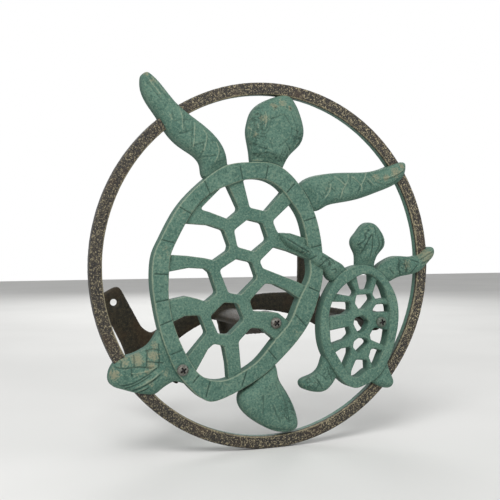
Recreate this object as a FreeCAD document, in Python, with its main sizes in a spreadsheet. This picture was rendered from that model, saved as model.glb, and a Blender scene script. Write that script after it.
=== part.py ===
import FreeCAD, Part
import math
import os

# Hose hanger: a cast ring plate with a large and a small sea turtle, held off the wall by a
# cast bracket that carries the hose, and three pan-head screws.
# X is to the right, Y away from the viewer and into the wall, Z up.
# The origin lies on the wall, midway between the two wall screw holes.

os.makedirs("parts", exist_ok=True)
doc = FreeCAD.newDocument("hose_hanger")

# Sizes in millimetres and degrees

sizes = {
    # ring and plate
    "ring_radius": 155.0,
    "ring_width": 10.6,
    "ring_bevel": 1.2,
    "plate_thickness": 9.0,
    "stand_off": 130.0,
    # large turtle, heights above the ring's front face
    "large_rim_height": 3.0,
    "large_rib_height": 0.6,
    "flipper_height": 6.0,
    "large_head_height": 9.5,
    "window_corner": 2.5,
    # small turtle
    "small_rim_height": 6.0,
    "small_rib_height": 4.0,
    "small_back_depth": 6.0,
    "small_head_height": 10.5,
    # plate screws
    "screw_head_diameter": 9.4,
    "screw_head_height": 3.2,
    "screw_diameter": 5.0,
    "screw_reach": 11.0,
    "screw_clearance": 0.3,
    "cross_span": 5.2,
    "cross_width": 1.2,
    "cross_depth": 1.5,
    # bracket
    "bracket_tilt": 13.5,
    "wall_thickness": 6.0,
    "wall_hole_spacing": 209.3,
    "wall_hole_diameter": 7.0,
    "wall_hole_height": 37.5,
    "ear_width": 24.0,
    "ear_lean": 15.0,
    "ear_top": 12.5,
    "ear_corner": 6.0,
    "band_top_rise": 10.5,
    "band_top_radius": 270.0,
    "band_bottom_drop": 3.5,
    "band_bottom_radius": 139.0,
    "wing_inner": 82.5,
    "wing_outer": 97.0,
    "wing_inner_drop": 12.3,
    "wing_slope": 36.0,
    "arm_thickness": 6.0,
    "middle_arm_width": 24.0,
    "middle_arm_crown": 3.0,
    "web_thickness": 6.0,
    "web_depth_at_wall": 22.0,
    "web_depth_at_front": 6.0,
    "tab_width": 18.0,
    "tab_drop": 25.0,
    "lug_radius": 9.0,
    "lug_length": 18.0,
}

sheet = doc.addObject("Spreadsheet::Sheet", "Sizes")
for row, (alias, value) in enumerate(sizes.items(), start=1):
    sheet.set("A%d" % row, alias.replace("_", " "))
    sheet.set("B%d" % row, str(value))
    sheet.setAlias("B%d" % row, alias)
doc.recompute()


def size(alias):
    return float(sheet.get(alias))


def vector(point):
    return FreeCAD.Vector(point[0], point[1], 0)


# The turtles fill the ring, so their outlines are drawn for a ring of this radius and follow it.
drawn_radius = 155.0
figure_scale = size("ring_radius") / drawn_radius


def scaled(points):
    return [tuple(figure_scale * value for value in point) for point in points]


# Places of the three plate screws, from the ring's centre

screw_places = {
    "screw_lower_left": (-80.0, -83.5),
    "screw_middle": (3.4, -48.6),
    "screw_right": (104.0, -51.0),
}
screw_places = {name: scaled([place])[0] for name, place in screw_places.items()}

# The bracket leans by its tilt; its middle screw is straight below the wall holes' midpoint.

tilt = math.radians(size("bracket_tilt"))
across = (math.cos(tilt), math.sin(tilt))
upward = (-math.sin(tilt), math.cos(tilt))
middle_place = screw_places["screw_middle"]
ring_centre_x = -size("wall_hole_height") * upward[0] - middle_place[0]
ring_centre_z = -size("wall_hole_height") * upward[1] - middle_place[1]


def in_bracket(place):
    """A place on the plate, in the bracket's own leaning axes."""
    x = place[0] + ring_centre_x
    z = place[1] + ring_centre_z
    return (x * across[0] + z * across[1], x * upward[0] + z * upward[1])


# Sketch helpers


def new_body(name):
    body = doc.addObject("PartDesign::Body", name)
    body.Label = name
    return body


def new_sketch(body, plane_role, name, offset=None):
    """A sketch on one of the body's own planes, moved along its normal by an expression."""
    sketch = body.newObject("Sketcher::SketchObject", name)
    plane = [item for item in body.Origin.OriginFeatures if item.Role == plane_role][0]
    sketch.AttachmentSupport = [(plane, "")]
    sketch.MapMode = "FlatFace"
    if offset is not None:
        sketch.setExpression("AttachmentOffset.Base.z", offset)
    return sketch


def straight_outline(points):
    """A closed run of straight edges through the points."""
    corners = [vector(point) for point in points]
    return [Part.LineSegment(corners[index - 1], corners[index]) for index in range(len(corners))]


def curve_points(points, edge_count):
    """Even points on a closed curve through the given points."""
    curve = Part.BSplineCurve()
    curve.interpolate(Points=[vector(point) for point in points], PeriodicFlag=True)
    return [(point.x, point.y) for point in curve.discretize(edge_count + 1)[:-1]]


def smooth_outline(points, edge_count):
    """A closed curve through the points, drawn as even short edges."""
    return straight_outline(curve_points(points, edge_count))


def eased(points, radius):
    """An open run of points with each inner corner rounded by three short straight edges."""
    run = [points[0]]
    for before, corner, after in zip(points[:-2], points[1:-1], points[2:]):
        middle = vector(corner)
        to_before = vector(before) - middle
        to_after = vector(after) - middle
        start = middle + to_before * min(radius / to_before.Length, 0.45)
        end = middle + to_after * min(radius / to_after.Length, 0.45)
        for share in (0.0, 0.33, 0.67, 1.0):
            near_start = start * (1 - share) + middle * share
            near_end = middle * (1 - share) + end * share
            point = near_start * (1 - share) + near_end * share
            run.append((point.x, point.y))
    run.append(points[-1])
    return run


def bevelled_outline(points, bevel):
    """A closed polygon with its corners cut off, each cut as long as its edges allow."""
    cut_points = []
    for index in range(len(points)):
        corner = vector(points[index])
        for neighbour in (points[index - 1], points[(index + 1) % len(points)]):
            toward = vector(neighbour) - corner
            share = min(bevel / toward.Length, 0.4)
            cut_points.append((corner.x + toward.x * share, corner.y + toward.y * share))
    return straight_outline(cut_points)


def rounded_outline(points, radius):
    """A closed polygon whose corners are arcs of up to the given radius."""
    corners = []
    count = len(points)
    for index in range(count):
        before = vector(points[index - 1])
        corner = vector(points[index])
        after = vector(points[(index + 1) % count])
        to_before = before - corner
        to_after = after - corner
        half_angle = to_before.getAngle(to_after) / 2.0
        room = 0.45 * min(to_before.Length, to_after.Length)
        trim = min(radius / math.tan(half_angle), room)
        arc_radius = trim * math.tan(half_angle)
        to_before.normalize()
        to_after.normalize()
        inward = to_before + to_after
        inward.normalize()
        middle = corner + inward * (arc_radius / math.sin(half_angle) - arc_radius)
        corners.append((corner + to_before * trim, middle, corner + to_after * trim))
    curves = []
    for index in range(count):
        start, middle, end = corners[index]
        following = corners[(index + 1) % count][0]
        curves.append(Part.Arc(start, middle, end))
        curves.append(Part.LineSegment(end, following))
    return curves


def tapered_outline(spine, width_share=1.0, first=0):
    """A closed run of short edges round a spine of (x, z, half width) stations that ends in a tip.

    A smaller width share draws the same form further in, for the crown of a flipper, and a later
    first station draws it clear of the shell. The number of edges is the same for all of them."""
    edge_count = 3 * len(spine)
    spine = spine[first:]
    left = []
    right = []
    for index in range(len(spine) - 1):
        x, z, half_width = spine[index]
        before = spine[max(index - 1, 0)]
        after = spine[index + 1]
        along_x = after[0] - before[0]
        along_z = after[1] - before[1]
        length = math.hypot(along_x, along_z)
        reach = half_width * width_share / length
        left.append((x - along_z * reach, z + along_x * reach))
        right.append((x + along_z * reach, z - along_x * reach))
    last = spine[-2]
    tip = spine[-1]
    crown_tip = (
        last[0] + (tip[0] - last[0]) * width_share,
        last[1] + (tip[1] - last[1]) * width_share,
    )
    return smooth_outline(left + [crown_tip] + right[::-1], edge_count)


def add_curves(sketch, curves):
    sketch.addGeometry(curves, False)


def pad(body, name, curves, offset, length):
    sketch = new_sketch(body, "XZ_Plane", name + "_sketch", offset)
    add_curves(sketch, curves)
    feature = body.newObject("PartDesign::Pad", name)
    feature.Profile = sketch
    feature.setExpression("Length", length)
    return feature


def cut_through(body, name, curves, offset):
    """Cuts from in front of the body through all of it."""
    sketch = new_sketch(body, "XZ_Plane", name + "_sketch", offset)
    add_curves(sketch, curves)
    feature = body.newObject("PartDesign::Pocket", name)
    feature.Profile = sketch
    feature.Type = "ThroughAll"
    return feature


def cut_recess(body, name, curves, offset, depth):
    sketch = new_sketch(body, "XZ_Plane", name + "_sketch", offset)
    add_curves(sketch, curves)
    feature = body.newObject("PartDesign::Pocket", name)
    feature.Profile = sketch
    feature.setExpression("Length", depth)
    return feature


def crowned(body, name, spine, back, top, shoulders=((-0.3, 1.0, 0), (0.5, 0.9, 0), (1.0, 0.5, 1))):
    """A flipper or head: upright at its edge, then drawn in to a crown.

    Each shoulder is a share of the height in front of the ring's face, a share of the width, and
    the station of the spine that it starts from."""
    sections = [(back, 1.0, 0)]
    for height_share, width_share, first in shoulders:
        sections.append(("(%s) * %s" % (top, height_share), width_share, first))
    sketches = []
    for index, (offset, width_share, first) in enumerate(sections):
        sketch = new_sketch(body, "XZ_Plane", "%s_section_%d" % (name, index), offset)
        add_curves(sketch, tapered_outline(spine, width_share, first))
        sketches.append(sketch)
    feature = body.newObject("PartDesign::AdditiveLoft", name)
    feature.Profile = sketches[0]
    feature.Sections = sketches[1:]
    feature.Ruled = True
    return feature


# Ring plate with both turtles, one casting. Its own origin is the ring's centre on its front face.

plate = new_body("front_plate")

plate_back = "-Sizes.plate_thickness"
small_back = "-Sizes.small_back_depth"
front_of_all = "Sizes.large_head_height + Sizes.small_head_height"

# The ring is a turned profile with bevelled front edges.

outer = size("ring_radius")
inner = outer - size("ring_width")
bevel = min(size("ring_bevel"), 0.45 * size("ring_width"), 0.45 * size("plate_thickness"))
ring_sketch = new_sketch(plate, "XY_Plane", "ring_profile")
ring_profile = [
    (inner, size("plate_thickness")),
    (outer, size("plate_thickness")),
    (outer, bevel),
    (outer - bevel, 0),
    (inner + bevel, 0),
    (inner, bevel),
]
add_curves(ring_sketch, straight_outline(ring_profile))
ring = plate.newObject("PartDesign::Revolution", "ring")
ring.Profile = ring_sketch
ring.ReferenceAxis = (ring_sketch, ["V_Axis"])
ring.Angle = 360.0

# Large turtle: shell rim, sunken lattice of ribs between the windows, flippers and head

large_rim_outer = [
    (-16, 87), (-40, 84), (-62, 70), (-84, 47), (-98, 22), (-105, -5), (-102, -34), (-91, -72),
    (-74, -98), (-55, -111), (-29, -103), (8, -79), (35, -48), (47, -12), (46, 20), (28, 65),
    (6, 85),
]
large_rim_inner = [
    (-19, 73), (-40, 67), (-57, 59), (-72, 43), (-85, 20), (-91, -8), (-87, -46), (-72, -79),
    (-56, -93), (-41, -94), (-15, -81), (3, -62), (25, -29), (35, -8), (31, 26), (16, 56),
    (-2, 71),
]
large_windows = [
    # three down the middle
    [(-22, 39), (-8, 36), (-3, 22), (-16, 12), (-31, 16), (-34, 30)],
    [(-32, 6), (-18, 3), (-13, -10), (-28, -24), (-39, -22), (-47, -3)],
    [(-43, -30), (-31, -31), (-25, -45), (-38, -57), (-48, -56), (-55, -41)],
    # top, left side and bottom
    [(-27, 71), (-6, 72), (12, 61), (-5, 46), (-20, 49)],
    [(-40, 68), (-29, 47), (-39, 39), (-56, 45), (-64, 50)],
    [(-76, 32), (-56, 34), (-43, 30), (-38, 14), (-60, 7), (-87, 9)],
    [(-89, -5), (-74, -1), (-55, -4), (-49, -22), (-64, -28), (-89, -26)],
    [(-85, -43), (-77, -40), (-64, -40), (-58, -55), (-74, -73), (-83, -58)],
    [(-52, -64), (-43, -66), (-39, -80), (-41, -94), (-55, -93), (-67, -85), (-57, -68)],
    # right side
    [(1, 38), (18, 52), (25, 42), (31, 21), (16, 28), (4, 31)],
    [(2, 16), (17, 12), (33, 3), (35, -11), (24, -14), (-8, -2), (-11, 4)],
    [(-6, -15), (3, -16), (16, -22), (25, -29), (20, -42), (16, -46), (6, -40), (-17, -38), (-20, -29)],
    [(-30, -63), (-19, -52), (-9, -53), (3, -62), (-15, -80), (-28, -86)],
]

pad(
    plate, "large_shell", smooth_outline(scaled(large_rim_outer), 52), plate_back,
    "Sizes.plate_thickness + Sizes.large_rim_height",
)

# Stations of (x, z, half width) from root to tip

large_limbs = {
    "left_front_flipper": [
        (-45, 72, 16), (-55, 91, 13), (-66, 104, 14), (-81, 117, 12.5), (-92, 127, 10.2),
        (-101, 138, 8.6), (-107.5, 149, 5.5), (-109, 158),
    ],
    "right_front_flipper": [
        (24, 54, 15), (40, 63, 13.5), (54, 66, 13.5), (70, 68.5, 13), (90, 71, 11.8),
        (108, 77, 9.8), (122, 84.5, 6.8), (133, 89),
    ],
    "left_rear_flipper": [
        (-86, -70, 15), (-100, -78, 21), (-112, -83, 18), (-122, -84.5, 14.5), (-131, -85, 11.3),
        (-140, -87),
    ],
    "right_rear_flipper": [
        (-8, -86, 12), (-9, -104, 18), (-5, -116, 22), (2, -127, 20), (10, -136, 13), (18, -143),
    ],
}
for limb, spine in large_limbs.items():
    crowned(plate, "large_" + limb, scaled(spine), plate_back, "Sizes.flipper_height")

large_head = [
    (-4, 82, 13), (-1, 94, 17.5), (3, 105, 23.5), (4.5, 115, 25.5), (5.5, 126, 22.5),
    (7.5, 136, 15), (11, 145.5),
]
crowned(plate, "large_head", scaled(large_head), plate_back, "Sizes.large_head_height")

# The rim's face runs across the roots of the limbs.

cut_recess(
    plate, "large_face", smooth_outline(scaled(large_rim_outer), 52), front_of_all,
    front_of_all + " - Sizes.large_rim_height",
)
cut_recess(
    plate, "large_recess", smooth_outline(scaled(large_rim_inner), 46), "Sizes.large_rim_height",
    "Sizes.large_rim_height - Sizes.large_rib_height",
)
window_curves = []
for window in large_windows:
    window_curves += bevelled_outline(scaled(window), size("window_corner"))
cut_through(plate, "large_windows", window_curves, "Sizes.large_rim_height")

# Pad on the lattice under the middle screw

middle_pad = [Part.Circle(vector(middle_place), FreeCAD.Vector(0, 0, 1), size("lug_radius") - 1)]
pad(plate, "middle_screw_pad", middle_pad, plate_back, "Sizes.plate_thickness + Sizes.large_rib_height")

# Small turtle, in front of the large one's right edge

small_rim_outer = [
    (85, 0), (66, -6), (54, -19), (46, -36), (44, -58), (53, -86), (66, -102), (77, -108),
    (97, -102), (109, -89), (119, -64), (121, -40), (114, -19), (101, -5),
]
small_rim_inner = [
    (84, -8), (68, -16), (59, -25), (52, -37), (52, -55), (56, -71), (66, -88), (75, -97.5),
    (83, -97), (97, -90.5), (107, -74), (112, -52), (110, -31), (101, -14),
]
small_windows = [
    # down the middle
    [(79, -9.6), (93, -7.6), (90, -19.6), (82, -19.6)],
    [(82, -25.6), (91, -26.6), (92, -32.6), (85, -38.6), (80, -33.6)],
    [(81, -46.6), (88, -46.6), (91, -51.6), (89, -56.6), (85, -58.6), (80, -56.6), (78, -52.6)],
    [(79, -66.6), (83, -64.6), (88, -66.6), (87, -73.6), (82, -77.6), (78, -73.6)],
    [(83, -83.6), (87, -83.6), (88, -93), (79, -97), (76, -96), (78, -90.6)],
    # left side
    [(72, -14.6), (76, -19.6), (72, -25.6), (60, -26.6), (67, -17.6)],
    [(58, -35.6), (69, -32.6), (73, -35.6), (72, -41.6), (53, -45.6), (53, -40.6)],
    [(58, -56.6), (72, -54.6), (75, -58.6), (72, -63.6), (56, -67.6), (53, -60.6)],
    [(60, -76.6), (69, -72.6), (72, -73.6), (72, -81.6), (68, -89.6), (62, -83.6)],
    # right side
    [(100, -15.6), (105, -16.6), (108, -24.6), (107, -29.6), (98, -29.6), (97, -23.6)],
    [(96, -35.6), (105, -34.6), (114, -38.6), (112, -43.6), (100, -40.6), (95, -38.6)],
    [(97, -57.6), (102, -56.6), (112, -59.6), (109, -71.6), (97, -66.6), (94, -63.6)],
    [(98, -74.6), (105, -77.6), (102, -83.6), (98, -90.6), (93, -85.6), (92, -79.6)],
]

pad(
    plate, "small_shell", smooth_outline(scaled(small_rim_outer), 36), small_back,
    "Sizes.small_back_depth + Sizes.small_rim_height",
)
small_limbs = {
    "left_front_flipper": [
        (66, -11, 8), (56.5, -3.5, 7), (48.5, 2, 6.2), (39, 7.5, 5.6), (24.5, 16.5, 4.2),
        (13, 24, 2.9), (7, 28),
    ],
    "right_front_flipper": [
        (100, -12, 8), (110, -6, 9.5), (120, -3, 9.5), (132, -1.5, 8.5), (144, 1, 7.2),
        (153, 7, 6), (162, 14),
    ],
    "left_rear_flipper": [(58, -86, 8), (52, -94, 9.5), (45, -100, 8.5), (37, -103, 5.8), (27, -103)],
    "right_rear_flipper": [(100, -90, 8), (106, -97, 8), (111, -103, 6), (117.5, -110.5)],
}
for limb, spine in small_limbs.items():
    crowned(plate, "small_" + limb, scaled(spine), small_back, "Sizes.small_rim_height + 1")

small_head = [
    (88, -4, 8), (90.5, 7, 10), (92.5, 16, 14.6), (93.5, 25, 13.8), (94, 32, 9.5), (95, 38.5),
]
crowned(plate, "small_head", scaled(small_head), small_back, "Sizes.small_head_height")

cut_recess(
    plate, "small_face", smooth_outline(scaled(small_rim_outer), 36), front_of_all,
    front_of_all + " - Sizes.small_rim_height",
)
cut_recess(
    plate, "small_recess", smooth_outline(scaled(small_rim_inner), 32), "Sizes.small_rim_height",
    "Sizes.small_rim_height - Sizes.small_rib_height",
)
window_curves = []
for window in small_windows:
    window_curves += bevelled_outline(scaled(window), 0.6 * size("window_corner"))
cut_through(plate, "small_windows", window_curves, "Sizes.small_rim_height")

# Clearance holes for the plate screws

hole_radius = size("screw_diameter") / 2 + size("screw_clearance")
hole_circles = []
for place in screw_places.values():
    hole_circles.append(Part.Circle(vector(place), FreeCAD.Vector(0, 0, 1), hole_radius))
cut_through(plate, "screw_holes", hole_circles, front_of_all)

# Spot face that keeps the lower left screw's seat clear of the flipper beside it

spot_radius = size("screw_head_diameter") / 2 + size("screw_clearance")
spot_place = vector(screw_places["screw_lower_left"])
spot_face = [Part.Circle(spot_place, FreeCAD.Vector(0, 0, 1), spot_radius)]
cut_recess(
    plate, "spot_face", spot_face, front_of_all, front_of_all + " - Sizes.large_rim_height"
)

plate.Placement = FreeCAD.Placement(
    FreeCAD.Vector(ring_centre_x, -size("stand_off"), ring_centre_z), FreeCAD.Rotation()
)

# Bracket, one casting. Its own origin is the wall holes' midpoint on the wall.

bracket = new_body("hose_saddle")
base_z = -size("wall_hole_height")


def on_circle(radius, centre_z, x):
    """Height of the upper side of a circle round (0, centre_z)."""
    return centre_z + math.sqrt(radius ** 2 - x ** 2)


band_top_centre = base_z + size("band_top_rise") - size("band_top_radius")
band_bottom_centre = base_z - size("band_bottom_drop") - size("band_bottom_radius")
lean = math.radians(size("ear_lean"))
half_spacing = size("wall_hole_spacing") / 2
half_ear = size("ear_width") / 2


def ear_point(along, sideways):
    """A point of the right ear, from its hole: along its lean, and sideways away from the middle."""
    x = half_spacing + along * math.sin(lean) + sideways * math.cos(lean)
    z = along * math.cos(lean) - sideways * math.sin(lean)
    return (x, z)


ear_foot = (base_z + 3.0) / math.cos(lean)
ear_bottom_x = size("wing_outer") + 8.5
bottom_x = size("wing_outer") + 0.5
top_join_x = size("wing_inner") - 6.5
tab = size("tab_width") / 2

right_side = [
    (top_join_x, on_circle(size("band_top_radius"), band_top_centre, top_join_x)),
    ear_point(ear_foot, -half_ear),
    ear_point(size("ear_top"), -half_ear),
    ear_point(size("ear_top"), half_ear),
    ear_point(ear_foot + 2.0, half_ear),
    (ear_bottom_x, base_z - 10.0),
    (ear_bottom_x, base_z - 36.0),
    (bottom_x, on_circle(size("band_bottom_radius"), band_bottom_centre, bottom_x)),
]


def band_outline():
    """The wall band with both ears and the tab below its middle."""
    right = [vector(point) for point in eased(right_side, size("ear_corner"))]
    left = [FreeCAD.Vector(-point.x, point.y, 0) for point in right]
    curves = []
    crest = FreeCAD.Vector(0, base_z + size("band_top_rise"), 0)
    curves.append(Part.Arc(left[0], crest, right[0]))
    for side in (right, left):
        for start, end in zip(side[:-1], side[1:]):
            curves.append(Part.LineSegment(start, end))
    tab_z = on_circle(size("band_bottom_radius"), band_bottom_centre, tab)
    middle_x = (tab + bottom_x) / 2
    middle_z = on_circle(size("band_bottom_radius"), band_bottom_centre, middle_x)
    tab_bottom = base_z - size("tab_drop")
    for sign in (1, -1):
        outer_end = FreeCAD.Vector(sign * bottom_x, right[-1].y, 0)
        inner_end = FreeCAD.Vector(sign * tab, tab_z, 0)
        tab_corner = FreeCAD.Vector(sign * tab, tab_bottom, 0)
        curves.append(Part.Arc(outer_end, FreeCAD.Vector(sign * middle_x, middle_z, 0), inner_end))
        curves.append(Part.LineSegment(inner_end, tab_corner))
    curves.append(
        Part.LineSegment(FreeCAD.Vector(tab, tab_bottom, 0), FreeCAD.Vector(-tab, tab_bottom, 0))
    )
    return curves


pad(bracket, "wall_band", band_outline(), "0", "Sizes.wall_thickness")

# Side arms: sloping strips that reach from the wall to the plate

slope = math.radians(size("wing_slope"))
wing_length = (size("wing_outer") - size("wing_inner")) / math.cos(slope)


def wing_point(along, below, side):
    x = size("wing_inner") + along * math.cos(slope) - below * math.sin(slope)
    z = base_z - size("wing_inner_drop") - along * math.sin(slope) - below * math.cos(slope)
    return (side * x, z)


for name, side in (("left_arm", -1), ("right_arm", 1)):
    outline = [
        wing_point(0, 0, side),
        wing_point(wing_length, 0, side),
        wing_point(wing_length, size("arm_thickness"), side),
        wing_point(0, size("arm_thickness"), side),
    ]
    pad(bracket, name, rounded_outline(outline, 1.5), "0", "Sizes.stand_off - Sizes.plate_thickness")

# Middle arm: a crowned strip with a web under it

half_arm = size("middle_arm_width") / 2
crown = size("middle_arm_crown")
arm_top = [(-half_arm, base_z), (0, base_z + crown), (half_arm, base_z)]
arm_under = [(x, z - size("arm_thickness")) for x, z in arm_top]
middle_arm = [
    Part.Arc(*[vector(point) for point in arm_top]),
    Part.LineSegment(vector(arm_top[2]), vector(arm_under[2])),
    Part.Arc(*[vector(point) for point in arm_under[::-1]]),
    Part.LineSegment(vector(arm_under[0]), vector(arm_top[0])),
]
pad(bracket, "middle_arm", middle_arm, "0", "Sizes.stand_off - Sizes.plate_thickness")

reach = size("stand_off") - size("plate_thickness")
web_sketch = new_sketch(bracket, "YZ_Plane", "web_sketch")
web_top = base_z - size("arm_thickness") / 2
web_points = [
    (0, web_top),
    (-reach, web_top),
    (-reach, web_top - size("web_depth_at_front")),
    (0, web_top - size("web_depth_at_wall")),
]
add_curves(web_sketch, straight_outline(web_points))
web = bracket.newObject("PartDesign::Pad", "web")
web.Profile = web_sketch
web.setExpression("Length", "Sizes.web_thickness")
web.Midplane = True

# Screw lugs at the front ends of the arms

for name, place in screw_places.items():
    centre = in_bracket(place)
    lug = [Part.Circle(vector(centre), FreeCAD.Vector(0, 0, 1), size("lug_radius"))]
    front = "Sizes.stand_off - Sizes.plate_thickness"
    if name == "screw_right":
        front = "Sizes.stand_off - Sizes.small_back_depth"
    pad(bracket, "lug_of_" + name, lug, front + " - Sizes.lug_length", "Sizes.lug_length")

# Screw bores in the lugs and wall screw holes in the ears

bore_circles = []
for place in screw_places.values():
    bore_centre = vector(in_bracket(place))
    bore_circles.append(Part.Circle(bore_centre, FreeCAD.Vector(0, 0, 1), size("screw_diameter") / 2))
cut_recess(
    bracket, "screw_bores", bore_circles, "Sizes.stand_off",
    "Sizes.plate_thickness + Sizes.screw_reach",
)

wall_holes = []
for side in (-1, 1):
    hole_centre = FreeCAD.Vector(side * half_spacing, 0, 0)
    wall_holes.append(
        Part.Circle(hole_centre, FreeCAD.Vector(0, 0, 1), size("wall_hole_diameter") / 2)
    )
cut_through(bracket, "wall_holes", wall_holes, "Sizes.wall_thickness")

bracket.Placement = FreeCAD.Placement(
    FreeCAD.Vector(0, 0, 0), FreeCAD.Rotation(FreeCAD.Vector(0, -1, 0), size("bracket_tilt"))
)

# Plate screws. Each one's own origin is under its head, on its axis.

seat_heights = {
    "screw_lower_left": size("large_rim_height"),
    "screw_middle": size("large_rib_height"),
    "screw_right": size("small_rib_height"),
}
back_depths = {
    "screw_lower_left": size("plate_thickness"),
    "screw_middle": size("plate_thickness"),
    "screw_right": size("small_back_depth"),
}


# The drive cross of each screw is turned by so many degrees.

cross_turns = {"screw_lower_left": 30.0, "screw_middle": 45.0, "screw_right": 12.0}
head_sides = 16


def even_polygon(radius, sides):
    turns = [2 * math.pi * index / sides for index in range(sides)]
    return [(radius * math.cos(turn), radius * math.sin(turn)) for turn in turns]


def make_screw(name, place, seat_height, back_depth, cross_turn):
    body = new_body(name)
    head_radius = size("screw_head_diameter") / 2
    shank_end = seat_height + back_depth + size("screw_reach") - 1.0
    outline = straight_outline(even_polygon(head_radius, head_sides))
    head = pad(body, name + "_head", outline, "0", "Sizes.screw_head_height")
    doc.recompute()
    head_top = -size("screw_head_height")
    top_edges = []
    for number, edge in enumerate(head.Shape.Edges, start=1):
        if abs(edge.BoundBox.YMin - head_top) < 1e-4 and abs(edge.BoundBox.YMax - head_top) < 1e-4:
            top_edges.append("Edge%d" % number)
    bevelled_head = body.newObject("PartDesign::Chamfer", name + "_head_bevel")
    bevelled_head.Base = (head, top_edges)
    bevelled_head.setExpression("Size", "Sizes.screw_head_height * 0.45")
    shank_circle = [Part.Circle(FreeCAD.Vector(), FreeCAD.Vector(0, 0, 1), size("screw_diameter") / 2)]
    pad(body, name + "_shank", shank_circle, "%s" % -shank_end, "%s" % (shank_end + 0.5))
    span = size("cross_span") / 2
    width = size("cross_width") / 2
    quarter = [(span, width), (width, width), (width, span)]
    cross = []
    for turn in range(4):
        for x, z in quarter:
            for _ in range(turn):
                x, z = -z, x
            cross.append((x, z))
    sketch = new_sketch(body, "XZ_Plane", name + "_cross_sketch", "Sizes.screw_head_height")
    add_curves(sketch, straight_outline(cross))
    recess = body.newObject("PartDesign::Pocket", name + "_cross")
    recess.Profile = sketch
    recess.setExpression("Length", "Sizes.cross_depth")
    body.Placement = FreeCAD.Placement(
        FreeCAD.Vector(
            place[0] + ring_centre_x, -size("stand_off") - seat_height, place[1] + ring_centre_z
        ),
        FreeCAD.Rotation(FreeCAD.Vector(0, 1, 0), cross_turn),
    )
    return body


screws = []
for name, place in screw_places.items():
    screws.append(
        make_screw(name, place, seat_heights[name], back_depths[name], cross_turns[name])
    )

doc.recompute()

# Every feature has to be sound before anything is written.

for item in doc.Objects:
    if "Invalid" in item.State or "Error" in item.State:
        raise RuntimeError("%s did not build" % item.Name)

for body in [plate, bracket] + screws:
    shape = body.Shape
    if shape.isNull() or not shape.isValid():
        raise RuntimeError("%s has no sound shape" % body.Label)
    print(body.Label, len(shape.Solids), "solid", round(shape.Volume / 1000, 1), "cm3")
    shape.exportStep("parts/%s.step" % body.Label)
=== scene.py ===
# Hose hanger with two sea turtles in a ring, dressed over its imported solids
import math

import bpy
import numpy as np
from mathutils import Matrix, Vector, kdtree, noise
from mathutils.geometry import delaunay_2d_cdt


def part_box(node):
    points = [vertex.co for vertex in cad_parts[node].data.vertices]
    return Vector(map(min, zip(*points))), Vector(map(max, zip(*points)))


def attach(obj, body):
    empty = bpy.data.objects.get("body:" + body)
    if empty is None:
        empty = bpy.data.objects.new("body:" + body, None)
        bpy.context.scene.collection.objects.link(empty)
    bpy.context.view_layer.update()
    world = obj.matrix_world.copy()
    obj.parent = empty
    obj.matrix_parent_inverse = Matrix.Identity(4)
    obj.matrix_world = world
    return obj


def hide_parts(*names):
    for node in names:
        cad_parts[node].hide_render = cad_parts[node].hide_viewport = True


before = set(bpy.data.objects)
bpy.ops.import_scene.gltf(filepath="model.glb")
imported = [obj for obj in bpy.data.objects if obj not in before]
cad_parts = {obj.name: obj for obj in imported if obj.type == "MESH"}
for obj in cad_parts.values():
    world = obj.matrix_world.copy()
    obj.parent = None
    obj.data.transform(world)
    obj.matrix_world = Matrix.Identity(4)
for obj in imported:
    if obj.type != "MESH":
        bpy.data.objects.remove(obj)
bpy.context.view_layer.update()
print("frame loaded")

mm = 0.001
ringCentre = np.array([5.354, -130.0, 12.136])  # on the ring's front face, in mm


# shader and node helpers

def paint(red, green, blue):
    # a colour written as on screen, 0 to 255
    return tuple(pow((c / 255 + 0.055) / 1.055, 2.4) if c > 10 else c / 255 / 12.92
                 for c in (red, green, blue)) + (1.0,)


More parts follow.
